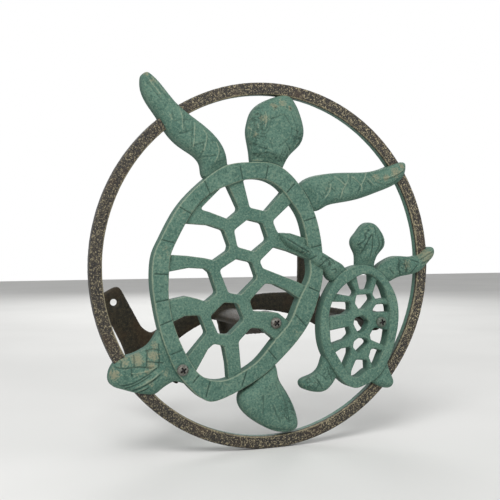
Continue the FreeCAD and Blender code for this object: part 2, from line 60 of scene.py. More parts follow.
class Wire:
    # a node's output that takes part in plain arithmetic
    def __init__(self, tree, socket=None):
        self.tree = tree
        self.socket = socket

    def add(self, kind, settings=None, values=None, out=0):
        made = self.tree.nodes.new(kind)
        for name, value in (settings or {}).items():
            if name != "stops":
                setattr(made, name, value)
                continue
            ramp = made.color_ramp
            ramp.elements[0].position, ramp.elements[0].color = value[0]
            ramp.elements[1].position, ramp.elements[1].color = value[-1]
            for place, colour in value[1:-1]:
                ramp.elements.new(place).color = colour
        for name, value in (values or {}).items():
            if isinstance(value, Wire):
                self.tree.links.new(value.socket, made.inputs[name])
            else:
                made.inputs[name].default_value = value
        return Wire(self.tree, made.outputs[out])

    def maths(self, operation, first, second=0.0, clamp=False):
        return self.add("ShaderNodeMath", {"operation": operation, "use_clamp": clamp},
                        {0: first, 1: second})

    def __add__(self, other):
        return self.maths("ADD", self, other)

    def __radd__(self, other):
        return self.maths("ADD", other, self)

    def __sub__(self, other):
        return self.maths("SUBTRACT", self, other)

    def __rsub__(self, other):
        return self.maths("SUBTRACT", other, self)

    def __mul__(self, other):
        return self.maths("MULTIPLY", self, other)

    def __rmul__(self, other):
        return self.maths("MULTIPLY", other, self)

    def band(self, low, high):
        # 0 below low and 1 above high, eased between them
        return self.add("ShaderNodeMapRange", {"interpolation_type": "SMOOTHSTEP"},
                        {"Value": self, "From Min": low, "From Max": high})

    def mix(self, amount, under, over):
        return self.add("ShaderNodeMix", {"data_type": "RGBA"}, {0: amount, 6: under, 7: over}, 2)

    def grain(self, place, perMetre, detail=3.0, rough=0.55):
        return self.add("ShaderNodeTexNoise", {},
                        {"Vector": place, "Scale": perMetre, "Detail": detail, "Roughness": rough})

    def cells(self, place, perMetre):
        return self.add("ShaderNodeTexVoronoi", {"feature": "F1"},
                        {"Vector": place, "Scale": perMetre}, "Distance")

    def mark(self, name):
        # an attribute that the mesh carries
        return self.add("ShaderNodeAttribute", {"attribute_name": name}, {}, "Fac")

    def axis(self, place, letter):
        return self.add("ShaderNodeSeparateXYZ", {}, {"Vector": place}, letter)

    def bump(self, strength, depth, height):
        # depth in mm
        return self.add("ShaderNodeBump", {},
                        {"Strength": strength, "Distance": depth * mm, "Height": height}, "Normal")


def newMaterial(name, metallic=0.0, specular=0.5):
    material = bpy.data.materials.new(name)
    material.use_nodes = True
    shader = material.node_tree.nodes["Principled BSDF"]
    shader.inputs["Metallic"].default_value = metallic
    shader.inputs["Specular IOR Level"].default_value = specular
    wire = Wire(material.node_tree)
    place = wire.add("ShaderNodeTexCoord", {}, {}, "Object")
    return material, shader, wire, place


def plug(wire, shader, **sockets):
    names = {"colour": "Base Color", "rough": "Roughness", "metal": "Metallic", "normal": "Normal"}
    for name, value in sockets.items():
        wire.tree.links.new(value.socket, shader.inputs[names[name]])


def newObject(name, data):
    made = bpy.data.objects.new(name, data)
    bpy.context.scene.collection.objects.link(made)
    return made


def plainMesh(host):
    # what the object's modifiers make, as a mesh of its own
    graph = bpy.context.evaluated_depsgraph_get()
    return bpy.data.meshes.new_from_object(host.evaluated_get(graph), preserve_all_data_layers=True,
                                           depsgraph=graph)


# outlines, in mm from the ring's centre: x to the right, z up

def closedCurve(points, step):
    # a closed cubic curve through the points
    spots = np.array(points, float)
    count = len(spots)
    chord = np.linalg.norm(np.roll(spots, -1, axis=0) - spots, axis=1)
    rows = np.zeros((count, count))
    sums = np.zeros((count, 2))
    for i in range(count):
        before, after = chord[i - 1], chord[i]
        ahead = (i + 1) % count
        rows[i, i - 1] += after
        rows[i, i] += 2 * (before + after)
        rows[i, ahead] += before
        sums[i] = 3 * (after * (spots[i] - spots[i - 1]) / before
                       + before * (spots[ahead] - spots[i]) / after)
    slopes = np.linalg.solve(rows, sums)
    drawn = []
    for i in range(count):
        ahead = (i + 1) % count
        pieces = max(1, round(chord[i] / step))
        t = (np.arange(pieces) / pieces)[:, None]
        drawn.append((2 * t ** 3 - 3 * t ** 2 + 1) * spots[i] + (3 * t ** 2 - 2 * t ** 3) * spots[ahead]
                     + chord[i] * ((t ** 3 - 2 * t ** 2 + t) * slopes[i] + (t ** 3 - t ** 2) * slopes[ahead]))
    return np.concatenate(drawn)


def roundedPolygon(points, radius, step):
    corners = np.array(points, float)
    drawn = []
    for i in range(len(corners)):
        corner = corners[i]
        back = corners[i - 1] - corner
        ahead = corners[(i + 1) % len(corners)] - corner
        backLength, aheadLength = np.linalg.norm(back), np.linalg.norm(ahead)
        back, ahead = back / backLength, ahead / aheadLength
        half = math.acos(float(np.clip(back @ ahead, -0.999, 0.999))) / 2
        trim = min(radius / math.tan(half), 0.45 * min(backLength, aheadLength))
        start, end = corner + back * trim, corner + ahead * trim
        bends = max(3, round(2 * trim / step))
        for t in np.linspace(0, 1, bends + 1):
            drawn.append((1 - t) ** 2 * start + 2 * t * (1 - t) * corner + t ** 2 * end)
        following = corners[(i + 1) % len(corners)]
        reach = np.linalg.norm(following - end)
        nextTrim = 0.45 * aheadLength if reach < 1 else 0.0
        pieces = max(1, round((reach - nextTrim) / step))
        for t in np.arange(1, pieces) / pieces:
            drawn.append(end + (following - end) * t)
    return evenLoop(np.array(drawn), step)


def evenLoop(points, step):
    # the same closed outline in even steps
    closed = np.vstack([points, points[:1]])
    run = np.concatenate([[0], np.cumsum(np.linalg.norm(np.diff(closed, axis=0), axis=1))])
    keep = np.concatenate([[True], np.diff(run) > 1e-9])
    closed, run = closed[keep], run[keep]
    at = np.linspace(0, run[-1], max(6, round(run[-1] / step)) + 1)[:-1]
    return np.stack([np.interp(at, run, closed[:, k]) for k in (0, 1)], axis=1)


def circleLoop(x, z, radius, step):
    turn = np.linspace(0, 2 * math.pi, max(12, round(2 * math.pi * radius / step)) + 1)[:-1]
    return np.stack([x + radius * np.cos(turn), z + radius * np.sin(turn)], axis=1)


def openCurve(points, step):
    # a smooth line through the points, from first to last
    spots = np.array(points, float)
    if len(spots) == 1:
        return spots
    padded = np.vstack([2 * spots[0] - spots[1], spots, 2 * spots[-1] - spots[-2]])
    drawn = []
    for i in range(len(spots) - 1):
        a, b, c, d = padded[i:i + 4]
        pieces = max(1, round(np.linalg.norm(c - b) / step))
        t = (np.arange(pieces) / pieces)[:, None]
        drawn.append(0.5 * (2 * b + (c - a) * t + (2 * a - 5 * b + 4 * c - d) * t ** 2
                            + (3 * b - a - 3 * c + d) * t ** 3))
    return np.vstack(drawn + [spots[-1:]])


def gapTo(points, line, closed=False):
    # distance to a line; for a closed one it is positive inside and negative outside
    nearest = np.full(len(points), 1e12)
    inside = np.zeros(len(points), bool)
    ends = np.roll(line, -1, axis=0) if closed else line[1:]
    for start, end in zip(line, ends):
        along = end - start
        offset = points - start
        share = np.clip(offset @ along / max(along @ along, 1e-12), 0, 1)
        gap = offset - share[:, None] * along
        nearest = np.minimum(nearest, (gap * gap).sum(axis=1))
        if closed and along[1] != 0:
            crosses = (start[1] > points[:, 1]) != (end[1] > points[:, 1])
            inside ^= crosses & (offset[:, 0] < offset[:, 1] * (along[0] / along[1]))
    if len(line) == 1:
        nearest = ((points - line[0]) ** 2).sum(axis=1)
    return np.sqrt(nearest) * (np.where(inside, 1.0, -1.0) if closed else 1.0)


# the two turtles

largeTurtle = {
    "name": "largeTurtle",
    "rimOuter": [
        (-16, 87), (-40, 84), (-62, 70), (-84, 47), (-98, 22), (-103, 11), (-105, -3), (-105, -12),
        (-102, -34), (-98, -52), (-91, -72), (-84, -86), (-74, -98), (-63, -108), (-56, -111),
        (-47, -110), (-29, -103), (-10, -93), (8, -79), (25, -62), (35, -48), (43, -28), (47, -12),
        (47.5, 4), (45, 25), (39, 46), (28, 65), (15, 79), (2, 86),
    ],
    "rimInner": [
        (-19, 73), (-40, 67), (-57, 59), (-72, 43), (-85, 20), (-89, 11), (-91, -6), (-91, -26),
        (-87, -46), (-81, -62), (-72, -79), (-66, -87), (-56, -93), (-42, -94), (-29, -89),
        (-15, -81), (3, -62), (16, -48), (25, -29), (31, -18), (35, -9), (34, 8), (31, 26),
        (25, 44), (16, 56), (8, 65), (-5, 72),
    ],
    "windows": [
        [(-22, 39), (-8, 36), (-3, 22), (-16, 12), (-31, 16), (-34, 30)],
        [(-32, 6), (-18, 3), (-13, -10), (-28, -24), (-39, -22), (-47, -3)],
        [(-43, -30), (-31, -31), (-25, -45), (-38, -57), (-48, -56), (-55, -41)],
        [(-27, 71), (-18, 73), (-6, 72), (12, 63), (-5, 46), (-20, 49)],
        [(-40, 68), (-29, 47), (-39, 39), (-56, 45), (-64, 47)],
        [(-76, 32), (-56, 34), (-43, 30), (-38, 17), (-39, 13), (-51, 5), (-60, 7), (-75, 9), (-87, 9)],
        [(-89, -5), (-74, -1), (-59, -2), (-55, -5), (-49, -22), (-58, -29), (-67, -26), (-75, -24),
         (-89, -26)],
        [(-85, -43), (-77, -40), (-64, -40), (-58, -55), (-74, -73), (-83, -58)],
        [(-52, -64), (-43, -66), (-40, -81), (-39, -92), (-43, -94), (-55, -93), (-67, -85), (-57, -68)],
        [(1, 38), (18, 52), (24, 44), (30, 28), (31, 21), (16, 28), (8, 25), (4, 31)],
        [(2, 16), (17, 12), (33, 3), (35, -11), (31, -18), (24, -14), (0, -5), (-8, -2), (-11, 4)],
        [(-6, -15), (3, -16), (16, -22), (25, -29), (20, -42), (16, -48), (6, -40), (-17, -38), (-20, -29)],
        [(-30, -63), (-19, -52), (-9, -53), (3, -62), (-20, -81), (-28, -86)],
    ],
    "windowCorner": 3.4,
    "ribRound": 0.8,
    "pads": [(3.4, -48.6, 8.0)],
    "bores": [(3.4, -48.6, 2.8), (-80.0, -83.5, 2.8)],
    "spots": [(-80.0, -83.5, 5.0)],
    "rimHeight": 3.0,
    "edgeWear": 0.9,
    "ribHeight": 0.6,
    "back": 9.0,
    "limbs": {
        "leftFront": {
            "outline": [
                (-60, 74), (-62, 83), (-78, 97), (-92, 110), (-99, 121), (-107, 132), (-112, 143),
                (-112.5, 150), (-111.2, 154.6), (-108.6, 156.2), (-105.2, 154.8), (-94, 144), (-83, 132),
                (-71, 123),
                (-52, 109), (-44, 99), (-40, 87), (-42, 74),
            ],
            "edge": -1.8, "crown": 6.0, "rise": 8.5,
        },
        "rightFront": {
            "outline": [
                (27, 68), (35, 75), (49, 79), (69, 81), (90, 82), (112, 87), (126, 92), (130.5, 91.5),
                (131.5, 87), (129, 79), (119, 71), (104, 65), (83, 58), (62, 54), (51, 51), (43, 47),
                (30, 52),
            ],
            "edge": -1.8, "crown": 6.0, "rise": 8.5,
        },
        "leftRear": {
            "outline": [
                (-97, -50), (-105, -61), (-112, -66), (-119, -69), (-127, -71), (-133, -74), (-137, -79),
                (-139, -85), (-139, -89), (-137, -93), (-131, -96), (-122, -99), (-115, -101),
                (-109, -102), (-102, -102), (-96, -98), (-91, -95), (-85, -93), (-78, -95), (-80, -72),
            ],
            "edge": -1.8, "crown": 6.0, "rise": 10.0,
        },
        "rightRear": {
            "outline": [
                (-14, -93), (-20, -101), (-27, -106), (-28.5, -114), (-23, -124), (-12, -133), (4, -141),
                (18, -142), (23, -140), (23.5, -129), (19, -117), (12, -105), (6, -94), (3, -83),
                (-8, -80),
            ],
            "edge": -1.8, "crown": 6.0, "rise": 10.0,
        },
        "head": {
            "outline": [
                (-16, 84), (-18, 94), (-20, 105), (-21, 114), (-19.5, 122), (-17, 129), (-8, 138), (3, 143),
                (11, 145), (17, 144), (21, 140), (24, 135), (28, 125), (30, 114), (27, 104), (20, 97),
                (13, 88), (9, 80), (-4, 77),
            ],
            "edge": -2.8, "crown": 9.4, "rise": 15.0,
        },
    },
    # cut lines, or raised ones where the depth is negative: depth, half width, then the lines
    "cuts": [
        (0.8, 0.75, [
            [(-60.7, 69.9), (-56.0, 59.4)], [(-82.0, 48.4), (-71.9, 42.9)], [(-97.4, 22.1), (-86.8, 19.5)],
            [(-103.2, -5.4), (-91.0, -6.0)], [(-99.1, -46.9), (-87.3, -42.6)],
            [(-88.9, -70.4), (-80.4, -67.7)],
            [(-70.6, -94.2), (-66.2, -89.3)], [(-59.6, -106.4), (-56.3, -94.6)],
            [(-29.6, 83.2), (-27.4, 72.5)],
            [(-4.3, 84.0), (-6.6, 73.0)], [(20.2, 69.5), (13.2, 62.5)], [(41.1, 41.6), (29, 38)],
            [(46, 17.5), (33, 14.5)], [(46, -24), (34, -19)], [(31, -52), (21, -42)], [(3, -79), (-5, -70)],
            [(-28, -100), (-24, -88)], [(-102, -28), (-91, -26)],
        ]),
        (0.5, 0.95, [
            [(-109.7, 147.4), (-106.0, 142.6), (-101.9, 137.7), (-97.8, 133.2)],
            [(-107.2, 151.2), (-102.7, 145.6), (-97.8, 140.3), (-92.4, 135.1)],
            [(-72.3, 117.0), (-71.9, 110.6), (-72.8, 103.3), (-72.4, 97.7)],
            [(-82.5, 107.3), (-77.0, 108.9), (-72.4, 111.0)], [(-62.9, 100.5), (-63.0, 94.0)],
            [(-71.1, 98.1), (-66.4, 99.9), (-62.6, 101.3)], [(-48.2, 94.6), (-49.1, 88.8)],
            [(-65.1, 89.1), (-59.1, 89.8), (-52.2, 90.9)], [(-55.9, 103.6), (-54.6, 100.9)],
            [(-87.1, 117.1), (-82.0, 118.5), (-75.3, 118.8)], [(-79.1, 123.9), (-78.7, 117.5)],
            [(-63.0, 94.0), (-65.1, 89.1)], [(-89.5, 124.1), (-87.9, 119.4)],
            [(-77.0, 108.9), (-79.9, 117.4)],
        ]),
        (0.5, 0.95, [
            [(51.3, 70.9), (50.2, 64.9), (45.4, 57.9)],
            [(62.3, 76.4), (65.9, 72.2), (65.5, 67.0), (61.4, 59.5)],
            [(73.1, 78.9), (71.9, 71.5)], [(75.6, 75.5), (81.6, 70.6), (80.1, 63.8)],
            [(88.5, 74.5), (93.4, 69.4)],
            [(92.6, 80.8), (95.4, 76.5)], [(41.5, 62.1), (46.6, 58.4)], [(53.1, 66.7), (57.5, 63.7)],
            [(85.6, 65.7), (87.5, 71.9)], [(106.8, 75.0), (115.0, 77.3), (122.2, 81.1), (127.6, 85.1)],
            [(109.8, 70.5), (118.1, 73.7), (124.6, 77.9)], [(97.6, 73.0), (104.7, 71.0)],
            [(56.5, 74.1), (51.3, 70.9)],
        ]),
        (-0.55, 1.0, [
            [(-82.9, 127.3), (-81.2, 121.4), (-80.8, 111.8)],
            [(-62.6, 111.1), (-60.0, 107.1), (-60.8, 101.4), (-62.7, 94.8)],
            [(-51.4, 101.8), (-49.6, 95.4), (-50.7, 90.4), (-53.1, 85.4)], [(-70.2, 116.3), (-71.3, 97.7)],
            [(-91.6, 122.4), (-90.0, 118.9)], [(71.1, 79.3), (68.7, 72.2), (64.6, 65.2), (62.8, 58.2)],
            [(74.1, 77.2), (79.1, 73.4), (83.0, 69.1), (83.4, 64.7)],
            [(89.5, 81.1), (86.5, 76.2), (83.0, 70.4)],
            [(53.1, 70.1), (51.9, 64.1), (47.3, 57.9)], [(56.9, 77.1), (61.8, 73.4), (66.7, 70.0)],
            [(89.0, 76.3), (95.1, 70.7)], [(105.7, 76.7), (117.0, 79.9), (125.8, 84.6)],
            [(95.6, 78.2), (102.7, 75.3)], [(-107.8, 148.0), (-103.5, 143.1), (-99.0, 137.9)],
            [(-104.7, 150.6), (-99.9, 145.0), (-94.5, 139.4)],
        ]),
        (0.75, 0.85, [
            [(-135.3, -78.0), (-129.7, -79.3), (-123.3, -79.0), (-116.1, -78.8), (-110.4, -79.6),
             (-106.3, -80.3)],
            [(-122.9, -80.2), (-122.5, -85.1)], [(-119.9, -70.1), (-120.6, -78.0)],
            [(-109.1, -66.7), (-110.2, -72.2), (-110.7, -78.5)],
            [(-100.0, -61.6), (-100.5, -67.5), (-100.0, -73.9), (-100.7, -79.5)],
            [(-110.0, -66.7), (-105.1, -65.2), (-99.7, -66.6)],
            [(-109.6, -74.9), (-104.2, -75.6), (-97.2, -76.5)],
            [(-130.1, -73.9), (-130.9, -77.8)],
            [(-102.2, -80.4), (-107.1, -83.9), (-112.0, -86.8), (-117.7, -89.9), (-124.2, -92.4),
             (-130.2, -93.1)],
            [(-107.1, -86.0), (-113.7, -89.9), (-120.5, -93.2), (-127.0, -95.4)],
            [(-99.4, -86.1), (-104.7, -90.0), (-110.4, -93.3), (-115.3, -95.6), (-121.0, -97.5)],
            [(-108.8, -95.9), (-113.7, -98.3), (-117.3, -99.6)],
        ]),
        (-0.5, 0.9, [
            [(-113.2, -83.2), (-107.9, -81.6), (-102.2, -79.1)],
            [(-122.5, -83.5), (-116.9, -83.3), (-111.2, -82.4)],
            [(-111.2, -90.8), (-106.3, -89.2), (-101.0, -85.1)],
            [(-119.3, -95.1), (-111.2, -91.9), (-103.0, -87.0)],
            [(-107.9, -78.0), (-104.3, -78.3)], [(-116.9, -98.1), (-111.2, -95.7)],
        ]),
        (0.5, 0.9, [
            [(-4.2, 123.0), (0.4, 124.3), (7.0, 126.8), (11.0, 122.1), (14.6, 115.7), (13.1, 109.2),
             (8.6, 104.3), (3.0, 100.1)],
            [(-4.2, 123.0), (-5.6, 117.5), (-7.1, 112.4), (-10.8, 109.3), (-14.4, 106.0)],
            [(-5.1, 104.2), (-3.2, 98.5)],
            [(-16.4, 121.4), (-17.7, 116.5), (-15.0, 112.5), (-12.6, 116.0), (-13.7, 121.0), (-16.4, 121.4)],
            [(-12.3, 113.4), (-12.7, 127.1)], [(-17.7, 116.1), (-18.2, 109.4), (-14.4, 106.0)],
            [(-24.1, 114.9), (-23.4, 106.7), (-21.2, 101.0), (-20.7, 95.3)],
            [(19.9, 114.6), (19.7, 109.2), (17.3, 103.5)],
            [(21.0, 107.4), (24.0, 108.9), (24.2, 105.2), (20.7, 102.3)],
            [(-4.5, 135.3), (1.1, 134.0), (-1.4, 129.9)], [(14.2, 128.6), (17.3, 122.0), (19.4, 117.1)],
            [(14.6, 115.7), (19.7, 113.7)], [(-20.7, 103.5), (-15.0, 99.2), (-7.8, 97.9)],
            [(8.6, 104.3), (13.8, 98.3)], [(-13.2, 92.3), (-7.8, 95.0), (-0.5, 93.1)],
        ]),
        (0.9, 1.0, [
            [(-14.1, 127.6), (-14.6, 127.0)], [(-20.5, 125.0), (-20.0, 124.7)],
            [(-16.8, 101.9), (-16.2, 101.6)],
            [(-14.1, 91.6), (-13.4, 91.4)], [(-20.7, 95.1), (-20.5, 94.5)], [(13.8, 98.7), (14.2, 98.3)],
            [(1.3, 91.1), (1.9, 90.8)], [(-16.8, 94.3), (-16.2, 94.1)], [(-0.5, 132.9), (0.2, 132.8)],
            [(13.4, 133.0), (13.8, 132.4)],
        ]),
        (-0.5, 0.9, [
            [(-9.1, 128.5), (-8.3, 123.2), (-9.6, 116.5)], [(-21.6, 117.8), (-19.5, 113.5)],
            [(18.4, 101.0), (22.2, 105.4)], [(-16.8, 88.7), (-9.6, 88.7)], [(-15.3, 118.6), (-15.2, 115.3)],
        ]),
        (0.55, 0.9, [
            [(4.1, -95.0), (12.7, -108.6), (18.4, -123.7)], [(6.5, -105.5), (11.2, -118.9), (13.6, -132.1)],
            [(-0.6, -118.0), (1.8, -124.7), (5.6, -131.4)], [(-9.9, -108.7), (-10.4, -123.7)],
            [(1.8, -100.1), (5.6, -109.8)], [(-2.9, -137.2), (16.0, -140.1)],
        ]),
    ],
    # wrinkled skin: x, z, radius of the patch
    "skin": [
        (-15, 118, 10), (-14, 106, 9), (-12, 96, 8), (22, 108, 9), (-14, 128, 8), (8, 92, 7), (14, -122, 14),
    ],
    # places where a tan brush has caught the casting: x, z, radius, amount
    "tan": [
        (-105, -70, 9, 1.0), (-107, -78, 7, 1.0), (-118, -73, 12, 0.9), (-128, -75, 10, 0.75),
        (-136, -84, 9, 0.9),
        (-95, -84, 8, 0.6), (-118, -84, 6, 0.55), (-108, -92, 8, 0.5), (-103, -63, 7, 0.7),
        (-110, -83, 5, 0.7),
        (-1, 134, 6, 0.9), (7, 137, 8, 0.7), (-10, 123, 7, 0.8), (-17, 110, 6, 0.6), (13, 133, 5, 0.8),
        (108, 77, 6, 1.0), (118, 82, 9, 0.9), (98, 77, 10, 0.6), (125, 88, 6, 0.9), (49, 67, 9, 0.4),
        (-110, 155, 5, 0.9), (-105, 149, 7, 0.6), (-90, 120, 6, 0.4), (-52, -70, 12, 0.4),
        (20, -56, 12, 0.35),
        (-95, 10, 16, 0.35), (-76, 43, 12, 0.35), (-60, 10, 9, 0.3),
    ],
}

smallTurtle = {
    "name": "smallTurtle",
    "rimOuter": [
        (85, 0), (72, -3), (62, -9), (54, -19), (47, -32), (44, -47), (44, -61), (47, -74), (54, -87),
        (63, -99), (72, -106), (79, -108), (87, -106), (97, -102), (107, -92), (114, -79), (119, -64),
        (121.5, -47), (120, -32), (114, -19), (107, -10), (97, -3),
    ],
    "rimInner": [
        (84, -8.5), (75, -12.5), (68, -16.5), (60, -24), (53.5, -35.5), (51.8, -46), (52.8, -57.5),
        (54, -67.5), (59, -77), (66.5, -89), (74, -97.5), (81, -98.5), (90, -93), (98, -90.5),
        (104, -80.5), (109, -70.5), (112, -54.5), (112.8, -40.5), (110, -29.5), (106.5, -20.5),
        (100.5, -13.5), (92, -8.5),
    ],
    "windows": [
        [(79, -9.5), (94.5, -8), (95, -14.5), (92.5, -22), (83, -22)],
        [(80, -26.5), (94, -26), (96, -31), (88.5, -39), (83, -40), (78.5, -33.5)],
        [(78.5, -46.5), (86.5, -45), (93, -50.5), (88.5, -58.5), (82, -60.5), (77, -52)],
        [(77.5, -67.5), (82, -64.5), (89.5, -65.5), (93, -69), (82, -78), (76.5, -72)],
        [(79.5, -83.5), (91, -84.5), (91, -92), (82, -98), (75, -98.5), (75, -93)],
        [(72, -13), (80, -24.5), (77.5, -28), (59, -27), (63, -20)],
        [(54.5, -34), (73.5, -32.5), (74, -40), (68.5, -43.5), (53.5, -46.5), (53, -40.5)],
        [(53.5, -56.5), (72.5, -54), (74.5, -61), (69.5, -65.5), (54.5, -69), (53.5, -61.5)],
        [(59, -75.5), (65, -73), (74, -72), (74, -78), (68, -91), (61, -81)],
        [(100, -14.5), (106, -15), (110.5, -23), (112, -31), (100, -31.5), (96, -26)],
        [(95, -41.5), (99.5, -35.5), (106, -35), (114.5, -38), (113.5, -43), (103, -42.5)],
        [(93.5, -62), (97.5, -56), (104, -56.5), (113.5, -59), (109, -72), (94.5, -66.5)],
        [(92.5, -81.5), (94.5, -75), (99, -74.5), (106, -76.5), (105, -81), (97.5, -91.5)],
    ],
    "windowCorner": 2.2,
    "ribRound": 1.5,
    "pads": [],
    "bores": [(104.0, -51.0, 2.8)],
    "spots": [],
    "rimHeight": 6.0,
    "edgeWear": 0.55,
    "ribHeight": 4.0,
    "back": 6.0,
    "limbs": {
        "leftFront": {
            "outline": [
                (11, 28), (26, 20.5), (43, 13), (52, 8.5), (60, 4), (68, -1), (72, -12), (57, -14), (53, -11),
                (49, -5), (41, -1), (33, 6), (20, 14), (7, 24), (6.5, 27),
            ],
            "edge": 0.6, "crown": 7.0, "rise": 4.6,
        },
        "rightFront": {
            "outline": [
                (100, -6), (110, 3.5), (119, 7), (132, 7), (144, 8), (153, 14), (159.4, 15.2), (160.8, 11),
                (155, 2),
                (144, -7), (132, -10), (119, -13), (113, -16), (104, -16),
            ],
            "edge": 0.4, "crown": 7.0, "rise": 6.0,
        },
        "leftRear": {
            "outline": [
                (51, -77), (47, -86), (38, -95), (27, -101), (28, -104.5), (34, -108), (44, -110), (50, -109),
                (58, -102), (63, -94), (61, -84),
            ],
            "edge": 0.0, "crown": 7.0, "rise": 7.0,
        },
        "rightRear": {
            "outline": [
                (111, -84), (113, -91), (117, -101), (118, -106), (115, -110), (108, -110), (99, -106),
                (92, -99), (100, -88),
            ],
            "edge": 0.0, "crown": 7.0, "rise": 6.0,
        },
        "head": {
            "outline": [
                (83, -4), (81.5, 9), (77.5, 18), (78, 23), (82, 28), (88, 35), (94, 37.5), (99, 36),
                (104, 31),
                (108, 24), (108, 16), (102, 9), (99, 3), (98, -5), (90, -8),
            ],
            "edge": -1.0, "crown": 10.2, "rise": 9.5,
        },
    },
    "cuts": [
        (0.75, 0.8, [
            [(11.6, 22.7), (24.1, 15.7), (31.4, 12.0)], [(33.8, 5.0), (38.7, 8.2)],
            [(42.9, -0.6), (47.2, 3.8), (53.4, 7.0)],
            [(44.8, 8.2), (51.5, 3.7), (52.1, -0.7)], [(54.6, 5.4), (56.5, 1.5)],
            [(53.4, -4.0), (57.7, -3.5), (58.3, -6.3)],
            [(121.5, 5.4), (120.9, -3.2), (122.9, -9.2)], [(134.2, -7.3), (139.6, -1.1)],
            [(143.6, 4.1), (151.7, 8.6), (158.6, 12.1)], [(145.0, 0.6), (153.8, 4.0)],
            [(126.2, 0.8), (128.9, -3.8)],
            [(111.7, -4.2), (115.6, -8.2)], [(134, 4), (141, 2)],
        ]),
        (0.75, 0.8, [
            [(91.8, 26.9), (86.7, 19.7), (82.9, 10.2)], [(92.4, 25.3), (91.8, 15.8), (90, 8)],
            [(97.5, 25.3), (98.8, 16.9), (95.0, 10.1)], [(100.8, 29.8), (102.7, 20.2), (100.8, 12.4)],
            [(86.0, 27.5), (84.9, 22.1), (80.2, 18)], [(95, 33), (95.4, 27)],
        ]),
        (0.6, 0.8, [
            [(46.8, -85.6), (39.4, -92.5), (30.7, -98.6)], [(41.4, -91.4), (47.5, -97.8)],
            [(39.4, -96.7), (44.8, -106.1)], [(50.2, -88.2), (54.3, -100.6)],
        ]),
        (1.2, 1.3, [[(89.0, 30.3), (89.6, 30.8)]]),
    ],
    "skin": [
        (48, 3, 9), (30, 13, 7), (125, -2, 10), (84, 16, 6), (103, 20, 6), (88, 26, 4), (36, -100, 9),
        (52, -94, 8),
    ],
    "tan": [(150, 8, 15, 0.9), (130, 0, 12, 0.5), (92, 33, 6, 0.4), (30, 14, 10, 0.3)],
}

casting = {
    "gridStep": 0.9, "outlineStep": 1.0, "boreStep": 0.8, "cutStep": 0.7,  # spacing of the points, in mm
    "edgeRows": (-0.95, -0.35, 0.35, 0.95),  # rows of points beside every outline
    "cutRows": (-1.1, -0.55, 0.0, 0.55, 1.1),  # and beside every cut line
    "tuckFrom": 3.2, "tuckBy": 3.0,  # window corners this near the rim go under it, by so much
    "rimRound": 0.9, "rough": 0.15, "skinDepth": 0.4, "wallRows": 3,
}
farAway = 1e6


def drawnTurtle(plan):
    # every outline of a turtle as even points
    step = casting["outlineStep"]
    rimOuter = evenLoop(closedCurve(plan["rimOuter"], 0.5), step)
    rimInner = evenLoop(closedCurve(plan["rimInner"], 0.5), step)
    windows = []
    for window in plan["windows"]:
        corners = np.array(window, float)
        atRim = gapTo(corners, rimInner, True) < casting["tuckFrom"]
        for i in np.nonzero(atRim)[0]:  # so that the rim's own edge trims this window
            nearest = rimInner[((rimInner - corners[i]) ** 2).sum(axis=1).argmin()]
            outward = nearest - rimInner.mean(axis=0)
            corners[i] = nearest + casting["tuckBy"] * outward / np.linalg.norm(outward)
        windows.append(roundedPolygon(corners, plan["windowCorner"], step))
    limbs = {name: evenLoop(closedCurve(limb["outline"], 0.5), step)
             for name, limb in plan["limbs"].items()}
    bores = [circleLoop(*bore, casting["boreStep"]) for bore in plan["bores"]]
    pads = [circleLoop(*pad, step) for pad in plan["pads"]]
    return {"rimOuter": rimOuter, "rimInner": rimInner, "windows": windows, "limbs": limbs,
            "bores": bores, "pads": pads}


def readGaps(points, drawn):
    # distances of the points to every outline
    far = np.full(len(points), -farAway)
    read = {rim: gapTo(points, drawn[rim], True) for rim in ("rimOuter", "rimInner")}

    def near(loop, reach=14.0):
        found = far.copy()
        low, high = loop.min(axis=0) - reach, loop.max(axis=0) + reach
        close = ((points > low) & (points < high)).all(axis=1)
        if close.any():
            found[close] = gapTo(points[close], loop, True)
        return found

    read["window"] = np.max([near(loop) for loop in drawn["windows"]], axis=0)
    read["bore"] = np.max([near(loop) for loop in drawn["bores"]], axis=0)
    read["pad"] = np.max([near(loop) for loop in drawn["pads"]], axis=0) if drawn["pads"] else far
    read["limbs"] = {name: near(loop) for name, loop in drawn["limbs"].items()}
    return read


def solidAt(read):
    anyLimb = np.max(list(read["limbs"].values()), axis=0) > 0
    pierced = (read["window"] > 0) & (read["rimInner"] > 0) & (read["pad"] < 0)
    return np.where(read["rimOuter"] > 0, ~pierced, anyLimb) & (read["bore"] < 0)


def edgeGap(read):
    # distance to the nearest outline that counts there
    gaps = [np.abs(read["rimOuter"]), np.abs(read["rimInner"]), np.abs(read["bore"])]
    hidden = 1.5  # an outline no longer counts this far under another form
    gaps.append(np.where(read["rimInner"] > -hidden, np.abs(read["window"]), farAway))
    gaps.append(np.where(read["rimInner"] > -hidden, np.abs(read["pad"]), farAway))
    for limb in read["limbs"].values():
        gaps.append(np.where(read["rimOuter"] < hidden, np.abs(limb), farAway))
    return np.min(gaps, axis=0)


def offsetRow(loop, distance):
    along = np.roll(loop, -1, axis=0) - np.roll(loop, 1, axis=0)
    along /= np.linalg.norm(along, axis=1)[:, None]
    return loop + distance * np.stack([-along[:, 1], along[:, 0]], axis=1)


def cutLines(plan):
    return [(depth, half, openCurve(line, 1.2)) for depth, half, lines in plan["cuts"] for line in lines]


def thinned(points, gap):
    # drops points that share a small square with an earlier one
    cells = np.round(points / gap).astype(int)
    first = np.unique(cells, axis=0, return_index=True)[1]
    return points[np.sort(first)]


